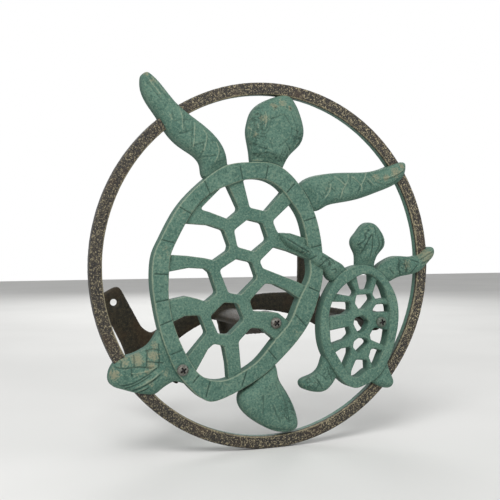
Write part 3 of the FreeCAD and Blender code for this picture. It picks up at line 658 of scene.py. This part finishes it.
def turtleSheet(plan, drawn):
    # triangles of the front, with rows along every outline and cut line
    loops = [drawn["rimOuter"], drawn["rimInner"], *drawn["windows"], *drawn["bores"], *drawn["pads"],
             *drawn["limbs"].values()]
    every = np.concatenate(loops)
    low, high = every.min(axis=0), every.max(axis=0)
    step = casting["gridStep"]
    across = np.arange(low[0], high[0], step)
    up = np.arange(low[1], high[1], step * 0.866)
    grid = np.stack(np.meshgrid(across, up), axis=-1)
    grid[1::2, :, 0] += step / 2
    rows = [(grid.reshape(-1, 2), 1.25)]
    for distance in casting["edgeRows"]:
        rows.append((np.concatenate([offsetRow(loop, distance) for loop in loops]), abs(distance) * 0.8))
    cuts = cutLines(plan)
    cutRows = []
    for depth, half, line in cuts:
        fine = openCurve(line, casting["cutStep"]) if len(line) > 1 else line
        along = np.gradient(fine, axis=0)
        along /= np.linalg.norm(along, axis=1)[:, None] + 1e-9
        side = np.stack([-along[:, 1], along[:, 0]], axis=1)
        cutRows += [fine + side * d for d in casting["cutRows"]]
    rows.insert(1, (np.concatenate(cutRows), 0.5))
    kept = []
    for number, (points, room) in enumerate(rows):
        read = readGaps(points, drawn)
        points = points[solidAt(read) & (edgeGap(read) > room)]
        if number == 0:
            cutGap = np.min([gapTo(points, line) for depth, half, line in cuts], axis=0)
            points = points[cutGap > 1.5]
        kept.append(thinned(points, 0.4) if number else points)
    inner = thinned(np.concatenate(kept[1:] + kept[:1]), 0.33)
    # outlines go in as fixed edges, apart from stretches that another form hides
    corners, edges = [], []
    for kind, loop in zip(["rim"] * 2 + ["window"] * (len(loops) - 2), loops):
        start = sum(len(part) for part in corners)
        read = readGaps(loop, drawn)
        if kind == "rim":
            wanted = np.ones(len(loop), bool)
        elif any(loop is limb for limb in drawn["limbs"].values()):
            wanted = read["rimOuter"] < 1.2
        else:
            wanted = read["rimInner"] > -1.2
        corners.append(loop)
        for i in range(len(loop)):
            j = (i + 1) % len(loop)
            if wanted[i] and wanted[j]:
                edges.append((start + i, start + j))
    points = np.concatenate(corners + [inner])
    used = np.zeros(len(points), bool)
    used[len(points) - len(inner):] = True
    used[np.array(edges).ravel()] = True
    renumber = np.cumsum(used) - 1
    edges = [(int(renumber[a]), int(renumber[b])) for a, b in edges]
    found = delaunay_2d_cdt([Vector(p) for p in points[used]], edges, [], 0, 1e-4)
    spots = np.array([tuple(v) for v in found[0]])
    faces = np.array(found[2])
    middle = spots[faces].mean(axis=1)
    return spots, faces[solidAt(readGaps(middle, drawn))]


def openEdges(faces):
    # directed edges that only one triangle uses
    directed = np.concatenate([faces[:, [0, 1]], faces[:, [1, 2]], faces[:, [2, 0]]])
    known = {tuple(edge) for edge in directed.tolist()}
    return [edge for edge in known if (edge[1], edge[0]) not in known]


def largestPart(faces):
    # the biggest group of triangles joined by their edges
    parent = list(range(int(faces.max()) + 1))

    def root(i):
        while parent[i] != i:
            parent[i] = parent[parent[i]]
            i = parent[i]
        return i

    for a, b, c in faces.tolist():
        parent[root(a)] = root(b)
        parent[root(b)] = root(c)
    owner = np.array([root(a) for a in faces[:, 0].tolist()])
    names, counts = np.unique(owner, return_counts=True)
    return faces[owner == names[counts.argmax()]]


def backTriangles(spots, edges):
    # fills between the outline's edges; the side on their left is solid
    used = sorted({i for edge in edges for i in edge})
    number = {old: new for new, old in enumerate(used)}
    outline = [(number[a], number[b]) for a, b in edges]
    found = delaunay_2d_cdt([Vector(spots[i]) for i in used], outline, [], 0, 1e-9)
    origin = [used[parents[0]] if parents else -1 for parents in found[3]]
    triangles = [[origin[i] for i in face] for face in found[2]]
    sideOf = {}
    for index, face in enumerate(triangles):
        for k in range(3):
            sideOf[(face[k], face[(k + 1) % 3])] = index
    fixed = set(edges) | {(b, a) for a, b in edges}
    solid = {sideOf[edge] for edge in edges if edge in sideOf}
    waiting = list(solid)
    while waiting:
        face = triangles[waiting.pop()]
        for k in range(3):
            edge = (face[(k + 1) % 3], face[k])
            if edge in fixed or (edge[1], edge[0]) in fixed or edge not in sideOf:
                continue
            if sideOf[edge] not in solid:
                solid.add(sideOf[edge])
                waiting.append(sideOf[edge])
    return [triangles[i] for i in solid]


def quarterRound(gap, radius):
    # how far a rounded edge has dropped at this distance from it
    inward = np.clip(radius - gap, 0, radius)
    return radius - np.sqrt(radius ** 2 - inward ** 2)


def ease(value, low, high):
    share = np.clip((value - low) / (high - low), 0, 1)
    return share * share * (3 - 2 * share)


def roughness(points, height, scale, seed):
    return np.array([noise.noise((x * scale + seed, h * scale, z * scale))
                     for (x, z), h in zip(points.tolist(), height)])


def distanceFrom(points, x, z):
    return np.hypot(points[:, 0] - x, points[:, 1] - z)


def cracks(points, scale):
    # 1 on the lines between small cells, 0 inside them
    found = np.empty(len(points))
    for i, (x, z) in enumerate(points.tolist()):
        near = noise.voronoi((x * scale, z * scale, 0.0))[0]
        found[i] = near[1] - near[0]
    return 1 - ease(found, 0.03, 0.22)


def turtleForm(plan, drawn, spots, edges):
    # heights in front of the ring's face, with the wear and the recess of each point; the recess is where the
    # paint puts painted shade
    read = readGaps(spots, drawn)
    border = np.zeros(len(spots), bool)
    border[np.array(edges).ravel()] = True
    tree = kdtree.KDTree(4 * len(edges))
    number = 0
    for a, b in edges:
        for share in (0.0, 0.25, 0.5, 0.75):
            tree.insert((*(spots[a] * (1 - share) + spots[b] * share), 0.0), number)
            number += 1
    tree.balance()
    rim = np.array([tree.find((x, z, 0.0))[2] for x, z in spots.tolist()])
    rim[border] = 0.0
    onRim = (read["rimOuter"] > -0.05) & (read["rimInner"] < 0.05)
    onRib = (read["rimInner"] >= 0.05)
    rimEdge = np.minimum(np.abs(read["rimOuter"]), np.abs(read["rimInner"]))
    height = np.zeros(len(spots))
    height[onRim] = plan["rimHeight"] - quarterRound(rimEdge[onRim], casting["rimRound"])
    ribGap = rim[onRib]
    height[onRib] = plan["ribHeight"] - quarterRound(ribGap, plan["ribRound"])
    wear = np.zeros(len(spots))
    recess = np.zeros(len(spots))
    wear[onRim] = plan["edgeWear"] * (1 - ease(rimEdge[onRim], 0.2, 1.5))
    wear[onRib] = 0.8 * plan["edgeWear"] * (1 - ease(ribGap, 0.2, 1.3))
    # recess: painted shade at the foot of the rim's inner step, on the ribs
    recess[onRib] = 0.6 * (1 - ease(read["rimInner"][onRib], 0.3, 2.4))
    limb = ~(onRim | onRib)
    root = plan["rimHeight"] - 1.7
    for name, shape in plan["limbs"].items():
        gap = read["limbs"][name]
        here = limb & (gap > -0.2)
        edge = shape["edge"]
        inward = np.clip(gap[here] / shape["rise"], 0, 1)
        full = edge + (shape["crown"] - edge) * np.sqrt(1 - (1 - inward) ** 2)
        nearEdge = np.clip(gap[here] / 5.0, 0, 1)
        low = edge + (root - edge) * np.sqrt(1 - (1 - nearEdge) ** 2)
        outside = -read["rimOuter"][here]
        height[here] = low + (full - low) * ease(outside, 0, 9)
        wear[here] = np.maximum(wear[here], 0.45 * (1 - ease(rim[here], 0.6, 2.6)))
        # painted shade where a limb leaves the ring's outer edge
        recess[here] = np.maximum(recess[here], 0.8 * (1 - ease(outside, 0.2, 2.2)))
    inPlace = ease(rim, 0.0, 1.2)
    for depth, half, line in cutLines(plan):
        gap = gapTo(spots, line)
        groove = np.clip(1 - gap / (half * 1.35), 0, 1)
        height -= depth * groove ** 1.3 * inPlace
        if depth < 0:
            wear = np.maximum(wear, 0.95 * ease(groove, 0.2, 0.9))
            continue
        # painted shade along the groove
        recess = np.maximum(recess, min(1.0, 1.2 * depth) * ease(groove, 0.1, 0.8))
        lip = np.clip(1 - np.abs(gap - half * 1.7) / (half * 0.9), 0, 1)
        wear = np.maximum(wear, 0.65 * lip)
    lines = cracks(spots, 0.42)
    for x, z, radius in plan["skin"]:
        patch = 1 - ease(distanceFrom(spots, x, z), radius * 0.6, radius)
        height -= casting["skinDepth"] * patch * lines * limb
        # painted shade in the skin's cracks
        recess = np.maximum(recess, 0.8 * patch * lines * limb)
    coarse, fine = roughness(spots, height, 0.45, 3.1), roughness(spots, height, 1.1, 9.7)
    height += casting["rough"] * (coarse + 0.7 * fine)
    tan = np.zeros(len(spots))
    for x, z, radius, amount in plan["tan"]:
        tan = np.maximum(tan, amount * (1 - ease(distanceFrom(spots, x, z), 0, radius)))
    for x, z, radius in plan["spots"]:
        flat = distanceFrom(spots, x, z) < radius
        height[flat] = np.minimum(height[flat], plan["rimHeight"])
    return height, np.clip(wear, 0, 1), np.clip(recess, 0, 1), tan


def turtlePiece(plan, material):
    drawn = drawnTurtle(plan)
    spots, faces = turtleSheet(plan, drawn)
    faces = largestPart(faces)
    used = np.unique(faces)
    renumber = np.full(len(spots), -1)
    renumber[used] = np.arange(len(used))
    spots, faces = spots[used], renumber[faces]
    edges = openEdges(faces)
    height, wear, recess, tan = turtleForm(plan, drawn, spots, edges)
    border = sorted({i for edge in edges for i in edge})
    back = -plan["back"]
    place = [np.column_stack([spots[:, 0], -height, spots[:, 1]])]
    marks = {"wear": [wear], "recess": [recess], "tan": [tan], "side": [np.zeros(len(spots))]}
    start = len(spots)
    rowOf = []
    for row in range(1, casting["wallRows"] + 1):
        share = row / casting["wallRows"]
        rowOf.append({old: start + i for i, old in enumerate(border)})
        depth = height[border] * (1 - share) + back * share
        place.append(np.column_stack([spots[border, 0], -depth, spots[border, 1]]))
        start += len(border)
        # side marks the walls and back, where the paint puts painted shade
        for name, value in (("wear", 0.0), ("recess", 0.0), ("tan", 0.0), ("side", 1.0)):
            marks[name].append(np.full(len(border), value))
    polygons = faces.tolist()
    above = {i: i for i in border}
    for row in rowOf:
        polygons += [(above[a], row[a], row[b], above[b]) for a, b in edges]
        above = row
    polygons += [(above[c], above[b], above[a]) for a, b, c in backTriangles(spots, edges)]
    whole = (np.concatenate(place) + ringCentre) * mm
    mesh = bpy.data.meshes.new(plan["name"])
    mesh.from_pydata(whole.tolist(), [], polygons)
    mesh.update()
    mesh.polygons.foreach_set("use_smooth", np.ones(len(polygons), bool))
    for name, values in marks.items():
        made = mesh.attributes.new(name, "FLOAT", "POINT")
        made.data.foreach_set("value", np.concatenate(values))
    backRow = set(rowOf[-1].values())
    sharp = mesh.attributes.new("sharp_edge", "BOOLEAN", "EDGE")
    backEdges = {frozenset((above[a], above[b])) for a, b in edges}
    sharp.data.foreach_set("value", [frozenset(edge.vertices) in backEdges for edge in mesh.edges])
    piece = newObject(plan["name"], mesh)
    mesh.materials.append(material)
    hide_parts("front_plate")
    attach(piece, "root")
    print(plan["name"], "with", len(mesh.polygons), "faces")
    return piece


# finishes

def turtlePaint():
    material, shader, wire, place = newMaterial("verdigris paint", 0.0, 0.3)
    wear, recess, side, tan = (wire.mark(name) for name in ("wear", "recess", "side", "tan"))
    clouds = wire.grain(place, 38, 4, 0.6)
    blotches = wire.grain(place, 160, 4, 0.65)
    sand = wire.grain(place, 620, 3, 0.7)
    fine = wire.grain(place, 1700, 2, 0.7)
    pits = wire.cells(place, 520.0)
    colour = wire.mix(clouds.band(0.35, 0.68), paint(76, 110, 97), paint(92, 124, 109))
    colour = wire.mix(blotches.band(0.5, 0.7) * 0.6, colour, paint(62, 94, 83))
    colour = wire.mix(sand.band(0.5, 0.66) * 0.7, colour, paint(120, 141, 122))
    colour = wire.mix(sand.band(0.49, 0.34) * 0.7, colour, paint(50, 80, 71))
    # painted shade: darker paint in grooves, skin cracks, at the foot of the rim step and at the limb roots
    recessShade = (recess * (0.3 + 0.9 * blotches + 0.6 * sand)).band(0.2, 1.1)
    colour = wire.mix(recessShade * 0.9, colour, paint(36, 60, 52))
    # painted shade: the casting's walls and back are painted darker
    colour = wire.mix(side * 0.65, colour, paint(60, 92, 80))
    brushed = (wear * (sand + 1.1 * blotches) + 0.2 * clouds - 0.1).band(0.4, 1.1)
    colour = wire.mix(brushed * 0.8, colour, paint(142, 156, 134))
    dusted = (tan + 2.0 * sand + 0.8 * blotches - 1.35).band(0.3, 1.0) * tan.band(0.02, 0.45)
    dusted = dusted * (1 - 0.7 * recess) * (1 - side)
    colour = wire.mix(dusted * 0.75, colour, paint(142, 138, 112))
    colour = wire.mix(pits.band(0.15, 0.04) * 0.6, colour, paint(34, 50, 44))
    rust = wire.grain(place, 75, 3, 0.7).band(0.62, 0.76) * (wear + tan)
    colour = wire.mix(rust * 0.5, colour, paint(122, 98, 66))
    bump = wire.bump(0.65, 0.8, sand * 1.0 + blotches * 0.7 + pits * 0.5 + fine * 0.2)
    plug(wire, shader, colour=colour, rough=0.6 + 0.25 * sand - 0.1 * wear, normal=bump)
    return material


def ringPaint():
    material, shader, wire, place = newMaterial("antique bronze", 0.0, 0.5)
    depth, across = wire.axis(place, "Y"), wire.axis(place, "X")
    clouds = wire.grain(place, 30, 4, 0.6)
    dapple = wire.grain(place, 560, 4, 0.75)
    specks = wire.grain(place, 1100, 2, 0.6)
    knocks = wire.cells(place, 400.0)
    darkSide = (across * 3.0 + clouds - 0.35).band(-0.25, 0.45)
    colour = wire.mix(dapple.band(0.44, 0.57), paint(20, 16, 12), paint(56, 50, 40))
    colour = wire.mix(dapple.band(0.56, 0.44) * darkSide * 0.8, colour, paint(20, 16, 12))
    bright = (specks * 0.6 + dapple * 0.5).band(0.585, 0.645) * (0.55 + 0.4 * darkSide)
    colour = wire.mix(bright, colour, paint(184, 172, 138))
    colour = wire.mix(clouds.band(0.5, 0.7) * 0.45, colour, paint(62, 44, 29))
    worn = (wire.mark("worn") * (0.1 + 0.8 * dapple + 0.7 * clouds)).band(0.45, 1.0)
    colour = wire.mix(worn * 0.75, colour, paint(150, 141, 112))
    colour = wire.mix(knocks.band(0.26, 0.08) * 0.85, colour, paint(15, 12, 9))
    # painted shade on the ring's side walls
    colour = wire.mix(wire.mark("wall") * 0.85, colour, paint(22, 19, 15))
    overspray = wire.mark("inner") * depth.band(-0.129, -0.1255) * (0.35 + 1.3 * clouds)
    colour = wire.mix(overspray.band(0.25, 0.85) * 0.9, colour, paint(76, 116, 100))
    plug(wire, shader, colour=colour, rough=0.4 + 0.35 * dapple, metal=specks.band(0.45, 0.7) * 0.3,
         normal=wire.bump(0.7, 0.8, dapple * 0.9 + knocks * 0.7))
    return material


def bracketPaint():
    material, shader, wire, place = newMaterial("dark bronze", 0.0, 0.3)
    clouds = wire.grain(place, 26, 4, 0.6)
    dapple = wire.grain(place, 330, 4, 0.7)
    specks = wire.grain(place, 1200, 2, 0.6)
    colour = wire.mix(dapple.band(0.35, 0.68), paint(22, 20, 14), paint(54, 49, 36))
    colour = wire.mix(clouds.band(0.46, 0.7) * 0.55, colour, paint(66, 48, 28))
    colour = wire.mix(specks.band(0.58, 0.7) * 0.6, colour, paint(108, 96, 68))
    plug(wire, shader, colour=colour, rough=0.48 + 0.3 * dapple, metal=specks.band(0.5, 0.7) * 0.3,
         normal=wire.bump(0.6, 0.8, dapple + specks * 0.3))
    return material


def screwSteel():
    material, shader, wire, place = newMaterial("zinc steel", 0.5, 0.5)
    dirt = wire.grain(place, 420, 4, 0.65)
    fine = wire.grain(place, 1800, 2, 0.6)
    hollow = wire.mark("hollow")
    colour = wire.mix(dirt.band(0.45, 0.66), paint(118, 117, 111), paint(66, 61, 51))
    overspray = wire.axis(place, "X").band(0.07, 0.08) * dirt.band(0.3, 0.55)
    colour = wire.mix(overspray * 0.8, colour, paint(62, 82, 68))
    # painted shade: the cross's walls and floor are near black
    colour = wire.mix(hollow, colour, paint(5, 5, 4))
    bare = 1 - wire.maths("MAXIMUM", hollow, overspray)
    plug(wire, shader, colour=colour, rough=0.36 + 0.3 * dirt, metal=0.5 * bare,
         normal=wire.bump(0.3, 0.3, fine + dirt))
    return material


# node trees for the ring and the screws

class Shop:
    # a geometry tree with named inputs
    def __init__(self, name, sizes):
        self.tree = bpy.data.node_groups.new(name, "GeometryNodeTree")
        self.tree.interface.new_socket("Geometry", in_out="OUTPUT", socket_type="NodeSocketGeometry")
        kinds = {float: "NodeSocketFloat", int: "NodeSocketInt", bpy.types.Material: "NodeSocketMaterial"}
        self.sizes = sizes
        self.made = {}
        for label, value in sizes.items():
            kind = kinds[type(value)]
            self.made[label] = self.tree.interface.new_socket(label, in_out="INPUT", socket_type=kind)
        self.start = self.tree.nodes.new("NodeGroupInput")
        self.wire = Wire(self.tree)

    def size(self, label):
        return Wire(self.tree, self.start.outputs[label])

    def piece(self, name, geometry):
        ending = self.tree.nodes.new("NodeGroupOutput")
        self.tree.links.new(geometry.socket, ending.inputs[0])
        host = newObject(name, bpy.data.meshes.new(name))
        maker = host.modifiers.new(name, "NODES")
        maker.node_group = self.tree
        for label, value in self.sizes.items():
            maker[self.made[label].identifier] = value
        mesh = plainMesh(host)
        host.modifiers.remove(maker)
        host.data = mesh
        mesh.name = name
        print(name, "with", len(mesh.polygons), "faces")
        return host


ringSizes = {"outerRadius": 155.0, "width": 10.6, "thickness": 9.0, "corner": 1.3, "hammerDepth": 0.35,
             "dentsPerMetre": 260.0, "inset": 0.3}


def ringPiece(material):
    shop = Shop("ring", {
        "Radius": (ringSizes["outerRadius"] - ringSizes["width"] / 2) * mm,
        "Width": (ringSizes["width"] - ringSizes["inset"]) * mm,
        "Thickness": (ringSizes["thickness"] - ringSizes["inset"]) * mm,
        "Corner": ringSizes["corner"] * mm, "Hammer Depth": ringSizes["hammerDepth"] * mm, "Steps": 880,
        "Material": material})
    wire = shop.wire
    path = wire.add("GeometryNodeCurvePrimitiveCircle", {},
                    {"Resolution": shop.size("Steps"), "Radius": shop.size("Radius")})
    section = wire.add("GeometryNodeCurvePrimitiveQuadrilateral", {},
                       {"Width": shop.size("Width"), "Height": shop.size("Thickness")})
    section = wire.add("GeometryNodeFilletCurve", {"mode": "POLY"},
                       {"Curve": section, "Count": 3, "Radius": shop.size("Corner")})
    for halving in range(2):
        section = wire.add("GeometryNodeSubdivideCurve", {}, {"Curve": section, "Cuts": 1})
    tube = wire.add("GeometryNodeCurveToMesh", {}, {"Curve": path, "Profile Curve": section})
    middle = ringCentre + (0, ringSizes["thickness"] / 2, 0)
    tube = wire.add("GeometryNodeTransform", {}, {
        "Geometry": tube, "Rotation": (math.pi / 2, 0, 0), "Translation": tuple(middle * mm)})
    position = wire.add("GeometryNodeInputPosition")
    normal = wire.add("GeometryNodeInputNormal")
    dents = wire.grain(position, ringSizes["dentsPerMetre"], 2.0, 0.6)
    push = (dents - 0.5) * shop.size("Hammer Depth")
    shift = wire.add("ShaderNodeVectorMath", {"operation": "SCALE"}, {0: normal, "Scale": push})
    tube = wire.add("GeometryNodeSetPosition", {}, {"Geometry": tube, "Offset": shift})
    tube = wire.add("GeometryNodeSetShadeSmooth", {}, {"Geometry": tube, "Shade Smooth": True})
    tube = wire.add("GeometryNodeRealizeInstances", {}, {"Geometry": tube})
    tube = wire.add("GeometryNodeSetMaterial", {}, {"Geometry": tube, "Material": shop.size("Material")})
    piece = shop.piece("plateRing", tube)
    # how near each point is to the face's edges, the walls and the inner side
    mesh = piece.data
    spots = np.empty(len(mesh.vertices) * 3)
    mesh.vertices.foreach_get("co", spots)
    local = spots.reshape(-1, 3) / mm - ringCentre
    radius = np.hypot(local[:, 0], local[:, 2])
    inner = ringSizes["outerRadius"] - ringSizes["width"]
    toEdge = np.minimum(radius - inner, ringSizes["outerRadius"] - radius)
    front = 1 - ease(local[:, 1], 0.6, 1.6)
    marks = {
        "worn": front * (1 - ease(toEdge, 0.8, 2.2)) * np.where(radius < inner + 4, 1.0, 0.55),
        # the walls, which the paint darkens as painted shade
        "wall": ease(local[:, 1], 0.7, 1.8),
        "inner": 1 - ease(radius, inner + 0.5, inner + 1.2),
    }
    for name, values in marks.items():
        mesh.attributes.new(name, "FLOAT", "POINT").data.foreach_set("value", values)
    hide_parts("front_plate")
    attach(piece, "root")
    return piece


screwSizes = {"headRadius": 4.7, "headHeight": 3.2, "shankRadius": 2.5, "crossSpan": 5.6, "crossWidth": 1.6,
              "crossDepth": 1.7, "domeDrop": 0.5, "domeEase": 0.06}
screwPlaces = {  # x and z from the ring's centre, height of the seat, shank length, turn in degrees
    "screw_lower_left": (-80.0, -83.5, 3.0, 22.0, 30.0),
    "screw_middle": (3.4, -48.6, 0.6, 19.6, 45.0),
    "screw_right": (104.0, -51.0, 4.0, 20.0, 12.0),
}


def screwPiece(name, place, material):
    x, z, seat, shank, turn = place
    shop = Shop(name, {
        "Head Radius": screwSizes["headRadius"] * mm, "Head Height": screwSizes["headHeight"] * mm,
        "Shank Radius": screwSizes["shankRadius"] * mm, "Shank Length": shank * mm,
        "Cross Span": screwSizes["crossSpan"] * mm, "Cross Width": screwSizes["crossWidth"] * mm,
        "Cross Depth": screwSizes["crossDepth"] * mm, "Material": material})
    wire = shop.wire
    tall = shop.size("Head Height")
    head = wire.add("GeometryNodeMeshCylinder", {"fill_type": "TRIANGLE_FAN"}, {
        "Vertices": 40, "Side Segments": 6, "Fill Segments": 8, "Radius": shop.size("Head Radius"),
        "Depth": tall}, "Mesh")
    position = wire.add("GeometryNodeInputPosition")
    px, py, pz = (wire.axis(position, letter) for letter in "XYZ")
    share = wire.maths("SQRT", px * px + py * py) * wire.maths("DIVIDE", 1.0, shop.size("Head Radius"))
    up = wire.maths("ADD", pz * wire.maths("DIVIDE", 1.0, tall), 0.5, clamp=True)
    drop = wire.maths("POWER", share, 4.0) * screwSizes["domeDrop"]
    drop = drop + wire.maths("POWER", share, 2.0) * screwSizes["domeEase"]
    newZ = (up * (1.0 - drop)) * tall
    moved = wire.add("ShaderNodeCombineXYZ", {}, {"X": px, "Y": py, "Z": newZ})
    head = wire.add("GeometryNodeSetPosition", {}, {"Geometry": head, "Position": moved})
    cutterParts = []
    for sideX, sideY in (("Cross Span", "Cross Width"), ("Cross Width", "Cross Span")):
        size = wire.add("ShaderNodeCombineXYZ", {}, {
            "X": shop.size(sideX), "Y": shop.size(sideY), "Z": shop.size("Cross Depth") * 2.0})
        block = wire.add("GeometryNodeMeshCube", {}, {"Size": size}, "Mesh")
        lift = wire.add("ShaderNodeCombineXYZ", {}, {"Z": tall})
        cutterParts.append(wire.add("GeometryNodeTransform", {}, {"Geometry": block, "Translation": lift}))
    exact = {"operation": "UNION", "solver": "EXACT"}
    cross = wire.add("GeometryNodeMeshBoolean", exact, {"Mesh 2": cutterParts[0]})
    wire.tree.links.new(cutterParts[1].socket, cross.socket.node.inputs["Mesh 2"])
    head = wire.add("GeometryNodeMeshBoolean", {**exact, "operation": "DIFFERENCE"},
                    {"Mesh 1": head, "Mesh 2": cross})
    shaft = wire.add("GeometryNodeMeshCylinder", {}, {
        "Vertices": 24, "Radius": shop.size("Shank Radius"), "Depth": shop.size("Shank Length")}, "Mesh")
    down = wire.add("ShaderNodeCombineXYZ", {}, {"Z": shop.size("Shank Length") * -0.5 + 0.0002})
    shaft = wire.add("GeometryNodeTransform", {}, {"Geometry": shaft, "Translation": down})
    both = wire.tree.nodes.new("GeometryNodeJoinGeometry")
    wire.tree.links.new(head.socket, both.inputs[0])
    wire.tree.links.new(shaft.socket, both.inputs[0])
    centre = ringCentre + (x, -seat, z)
    whole = wire.add("GeometryNodeTransform", {}, {
        "Geometry": Wire(wire.tree, both.outputs[0]), "Rotation": (0, 0, math.radians(turn))})
    whole = wire.add("GeometryNodeTransform", {}, {
        "Geometry": whole, "Rotation": (math.pi / 2, 0, 0), "Translation": tuple(centre * mm)})
    whole = wire.add("GeometryNodeRealizeInstances", {}, {"Geometry": whole})
    whole = wire.add("GeometryNodeSetMaterial", {}, {"Geometry": whole, "Material": shop.size("Material")})
    piece = shop.piece(name.replace("screw", "panScrew"), whole)
    # the walls and floor of the cross are marked, for their painted shade
    mesh = piece.data
    radius, rise = screwSizes["headRadius"], screwSizes["headHeight"]
    values = []
    for polygon in mesh.polygons:
        spot = np.array(polygon.center) / mm - centre
        share = min(1.0, math.hypot(spot[0], spot[2]) / radius)
        dome = rise * (1 - screwSizes["domeDrop"] * share ** 4 - screwSizes["domeEase"] * share ** 2)
        values.append(1.0 if share < 0.68 and 0.3 < -spot[1] < dome - 0.15 else 0.0)
    mesh.attributes.new("hollow", "FLOAT", "FACE").data.foreach_set("value", values)
    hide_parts(name)
    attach(piece, "root")
    return piece


# bracket: a cast skin grown from its own solid

bracketSkin = {"voxel": 1.3, "smoothing": 9, "rough": 0.16}


def bracketPiece(material):
    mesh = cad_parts["hose_saddle"].data.copy()
    piece = newObject("castBracket", mesh)
    joined = piece.modifiers.new("join", "WELD")
    joined.merge_threshold = 0.00001
    skin = piece.modifiers.new("skin", "REMESH")
    skin.mode = "VOXEL"
    skin.voxel_size = bracketSkin["voxel"] * mm
    soft = piece.modifiers.new("soft", "SMOOTH")
    soft.factor = 0.5
    soft.iterations = bracketSkin["smoothing"]
    made = plainMesh(piece)
    piece.modifiers.clear()
    piece.data = made
    made.name = "castBracket"
    made.materials.clear()
    made.materials.append(material)
    low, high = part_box("hose_saddle")
    normals = [vertex.normal.copy() for vertex in made.vertices]
    for vertex, normal in zip(made.vertices, normals):
        spot = vertex.co / mm
        shift = bracketSkin["rough"] * (noise.noise(spot * 0.35) + 0.6 * noise.noise(spot * 0.9))
        vertex.co += normal * shift * mm
        if vertex.co.y > high[1] - 0.0006:
            vertex.co.y = high[1]  # the wall side stays flat
        vertex.co.y = max(vertex.co.y, low[1] + 0.00002)
    made.polygons.foreach_set("use_smooth", np.ones(len(made.polygons), bool))
    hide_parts("hose_saddle")
    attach(piece, "root")
    print("castBracket with", len(made.polygons), "faces")
    return piece


# build

greenPaint = turtlePaint()
turtlePiece(largeTurtle, greenPaint)
turtlePiece(smallTurtle, greenPaint)
ringPiece(ringPaint())
steel = screwSteel()
for screwName, screwPlace in screwPlaces.items():
    screwPiece(screwName, screwPlace, steel)
bracketPiece(bracketPaint())

# room, light and camera

room = {"floorZ": -142.9, "floorSize": 6.0, "aim": (0, -0.12, 0), "sky": 0.42}
lamps = {  # place and size in metres, power
    "keyLamp": ((-0.75, -1.2, 1.15), 0.8, 21.0),
    "fillLamp": ((1.3, -0.9, 0.45), 1.2, 4.5),
    "backLamp": ((0.5, 1.5, 0.9), 1.0, 11.0),
}


def floorPiece():
    half = room["floorSize"] / 2
    low = room["floorZ"] * mm
    mesh = bpy.data.meshes.new("floor")
    corners = [(-half, -half, low), (half, -half, low), (half, half, low), (-half, half, low)]
    mesh.from_pydata(corners, [], [(0, 1, 2, 3)])
    piece = newObject("floor", mesh)
    material, shader, wire, place = newMaterial("pale floor", 0.0, 0.2)
    shader.inputs["Roughness"].default_value = 0.8
    tone = wire.mix(wire.grain(place, 3, 2).band(0.3, 0.7), paint(226, 226, 224), paint(232, 232, 230))
    plug(wire, shader, colour=tone)
    mesh.materials.append(material)
    return piece


def areaLamp(name, spot, size, power):
    lamp = bpy.data.lights.new(name, "AREA")
    lamp.size = size
    lamp.energy = power
    holder = newObject(name, lamp)
    holder.location = spot
    towards = Vector(room["aim"]) - Vector(spot)
    holder.rotation_euler = towards.to_track_quat("-Z", "Y").to_euler()
    return holder


floorPiece()
for lampName, (lampSpot, lampSize, lampPower) in lamps.items():
    areaLamp(lampName, lampSpot, lampSize, lampPower)
print("floor and lamps set")

world = bpy.data.worlds.new("studio")
bpy.context.scene.world = world
world.use_nodes = True
skyWire = Wire(world.node_tree)
rays = world.node_tree.nodes.new("ShaderNodeLightPath")
seen = Wire(world.node_tree, rays.outputs["Is Camera Ray"])
for rayKind in ("Is Glossy Ray", "Is Transmission Ray"):
    seen = skyWire.maths("MAXIMUM", seen, Wire(world.node_tree, rays.outputs[rayKind]))
background = world.node_tree.nodes["Background"]
background.inputs["Color"].default_value = (1, 1, 1, 1)
world.node_tree.links.new((room["sky"] + (1 - room["sky"]) * seen).socket, background.inputs["Strength"])

view = {"lens": 61.2, "sensor": 36.0, "nearest": 0.05, "place": (-0.28095, -0.7908, 0.03374),
        "right": (0.9275, -0.374, 0.0), "ahead": (0.374, 0.9275, -0.0114)}
cameraData = bpy.data.cameras.new("camera")
cameraData.lens = view["lens"]
cameraData.sensor_width = view["sensor"]
cameraData.clip_start = view["nearest"]
camera = newObject("camera", cameraData)
right = Vector(view["right"]).normalized()
ahead = Vector(view["ahead"]).normalized()
upward = right.cross(ahead).normalized()
camera.matrix_world = Matrix((
    (right.x, upward.x, -ahead.x, view["place"][0]),
    (right.y, upward.y, -ahead.y, view["place"][1]),
    (right.z, upward.z, -ahead.z, view["place"][2]),
    (0, 0, 0, 1)))
bpy.context.scene.camera = camera
bpy.context.scene.view_settings.view_transform = "Standard"

print("ready")
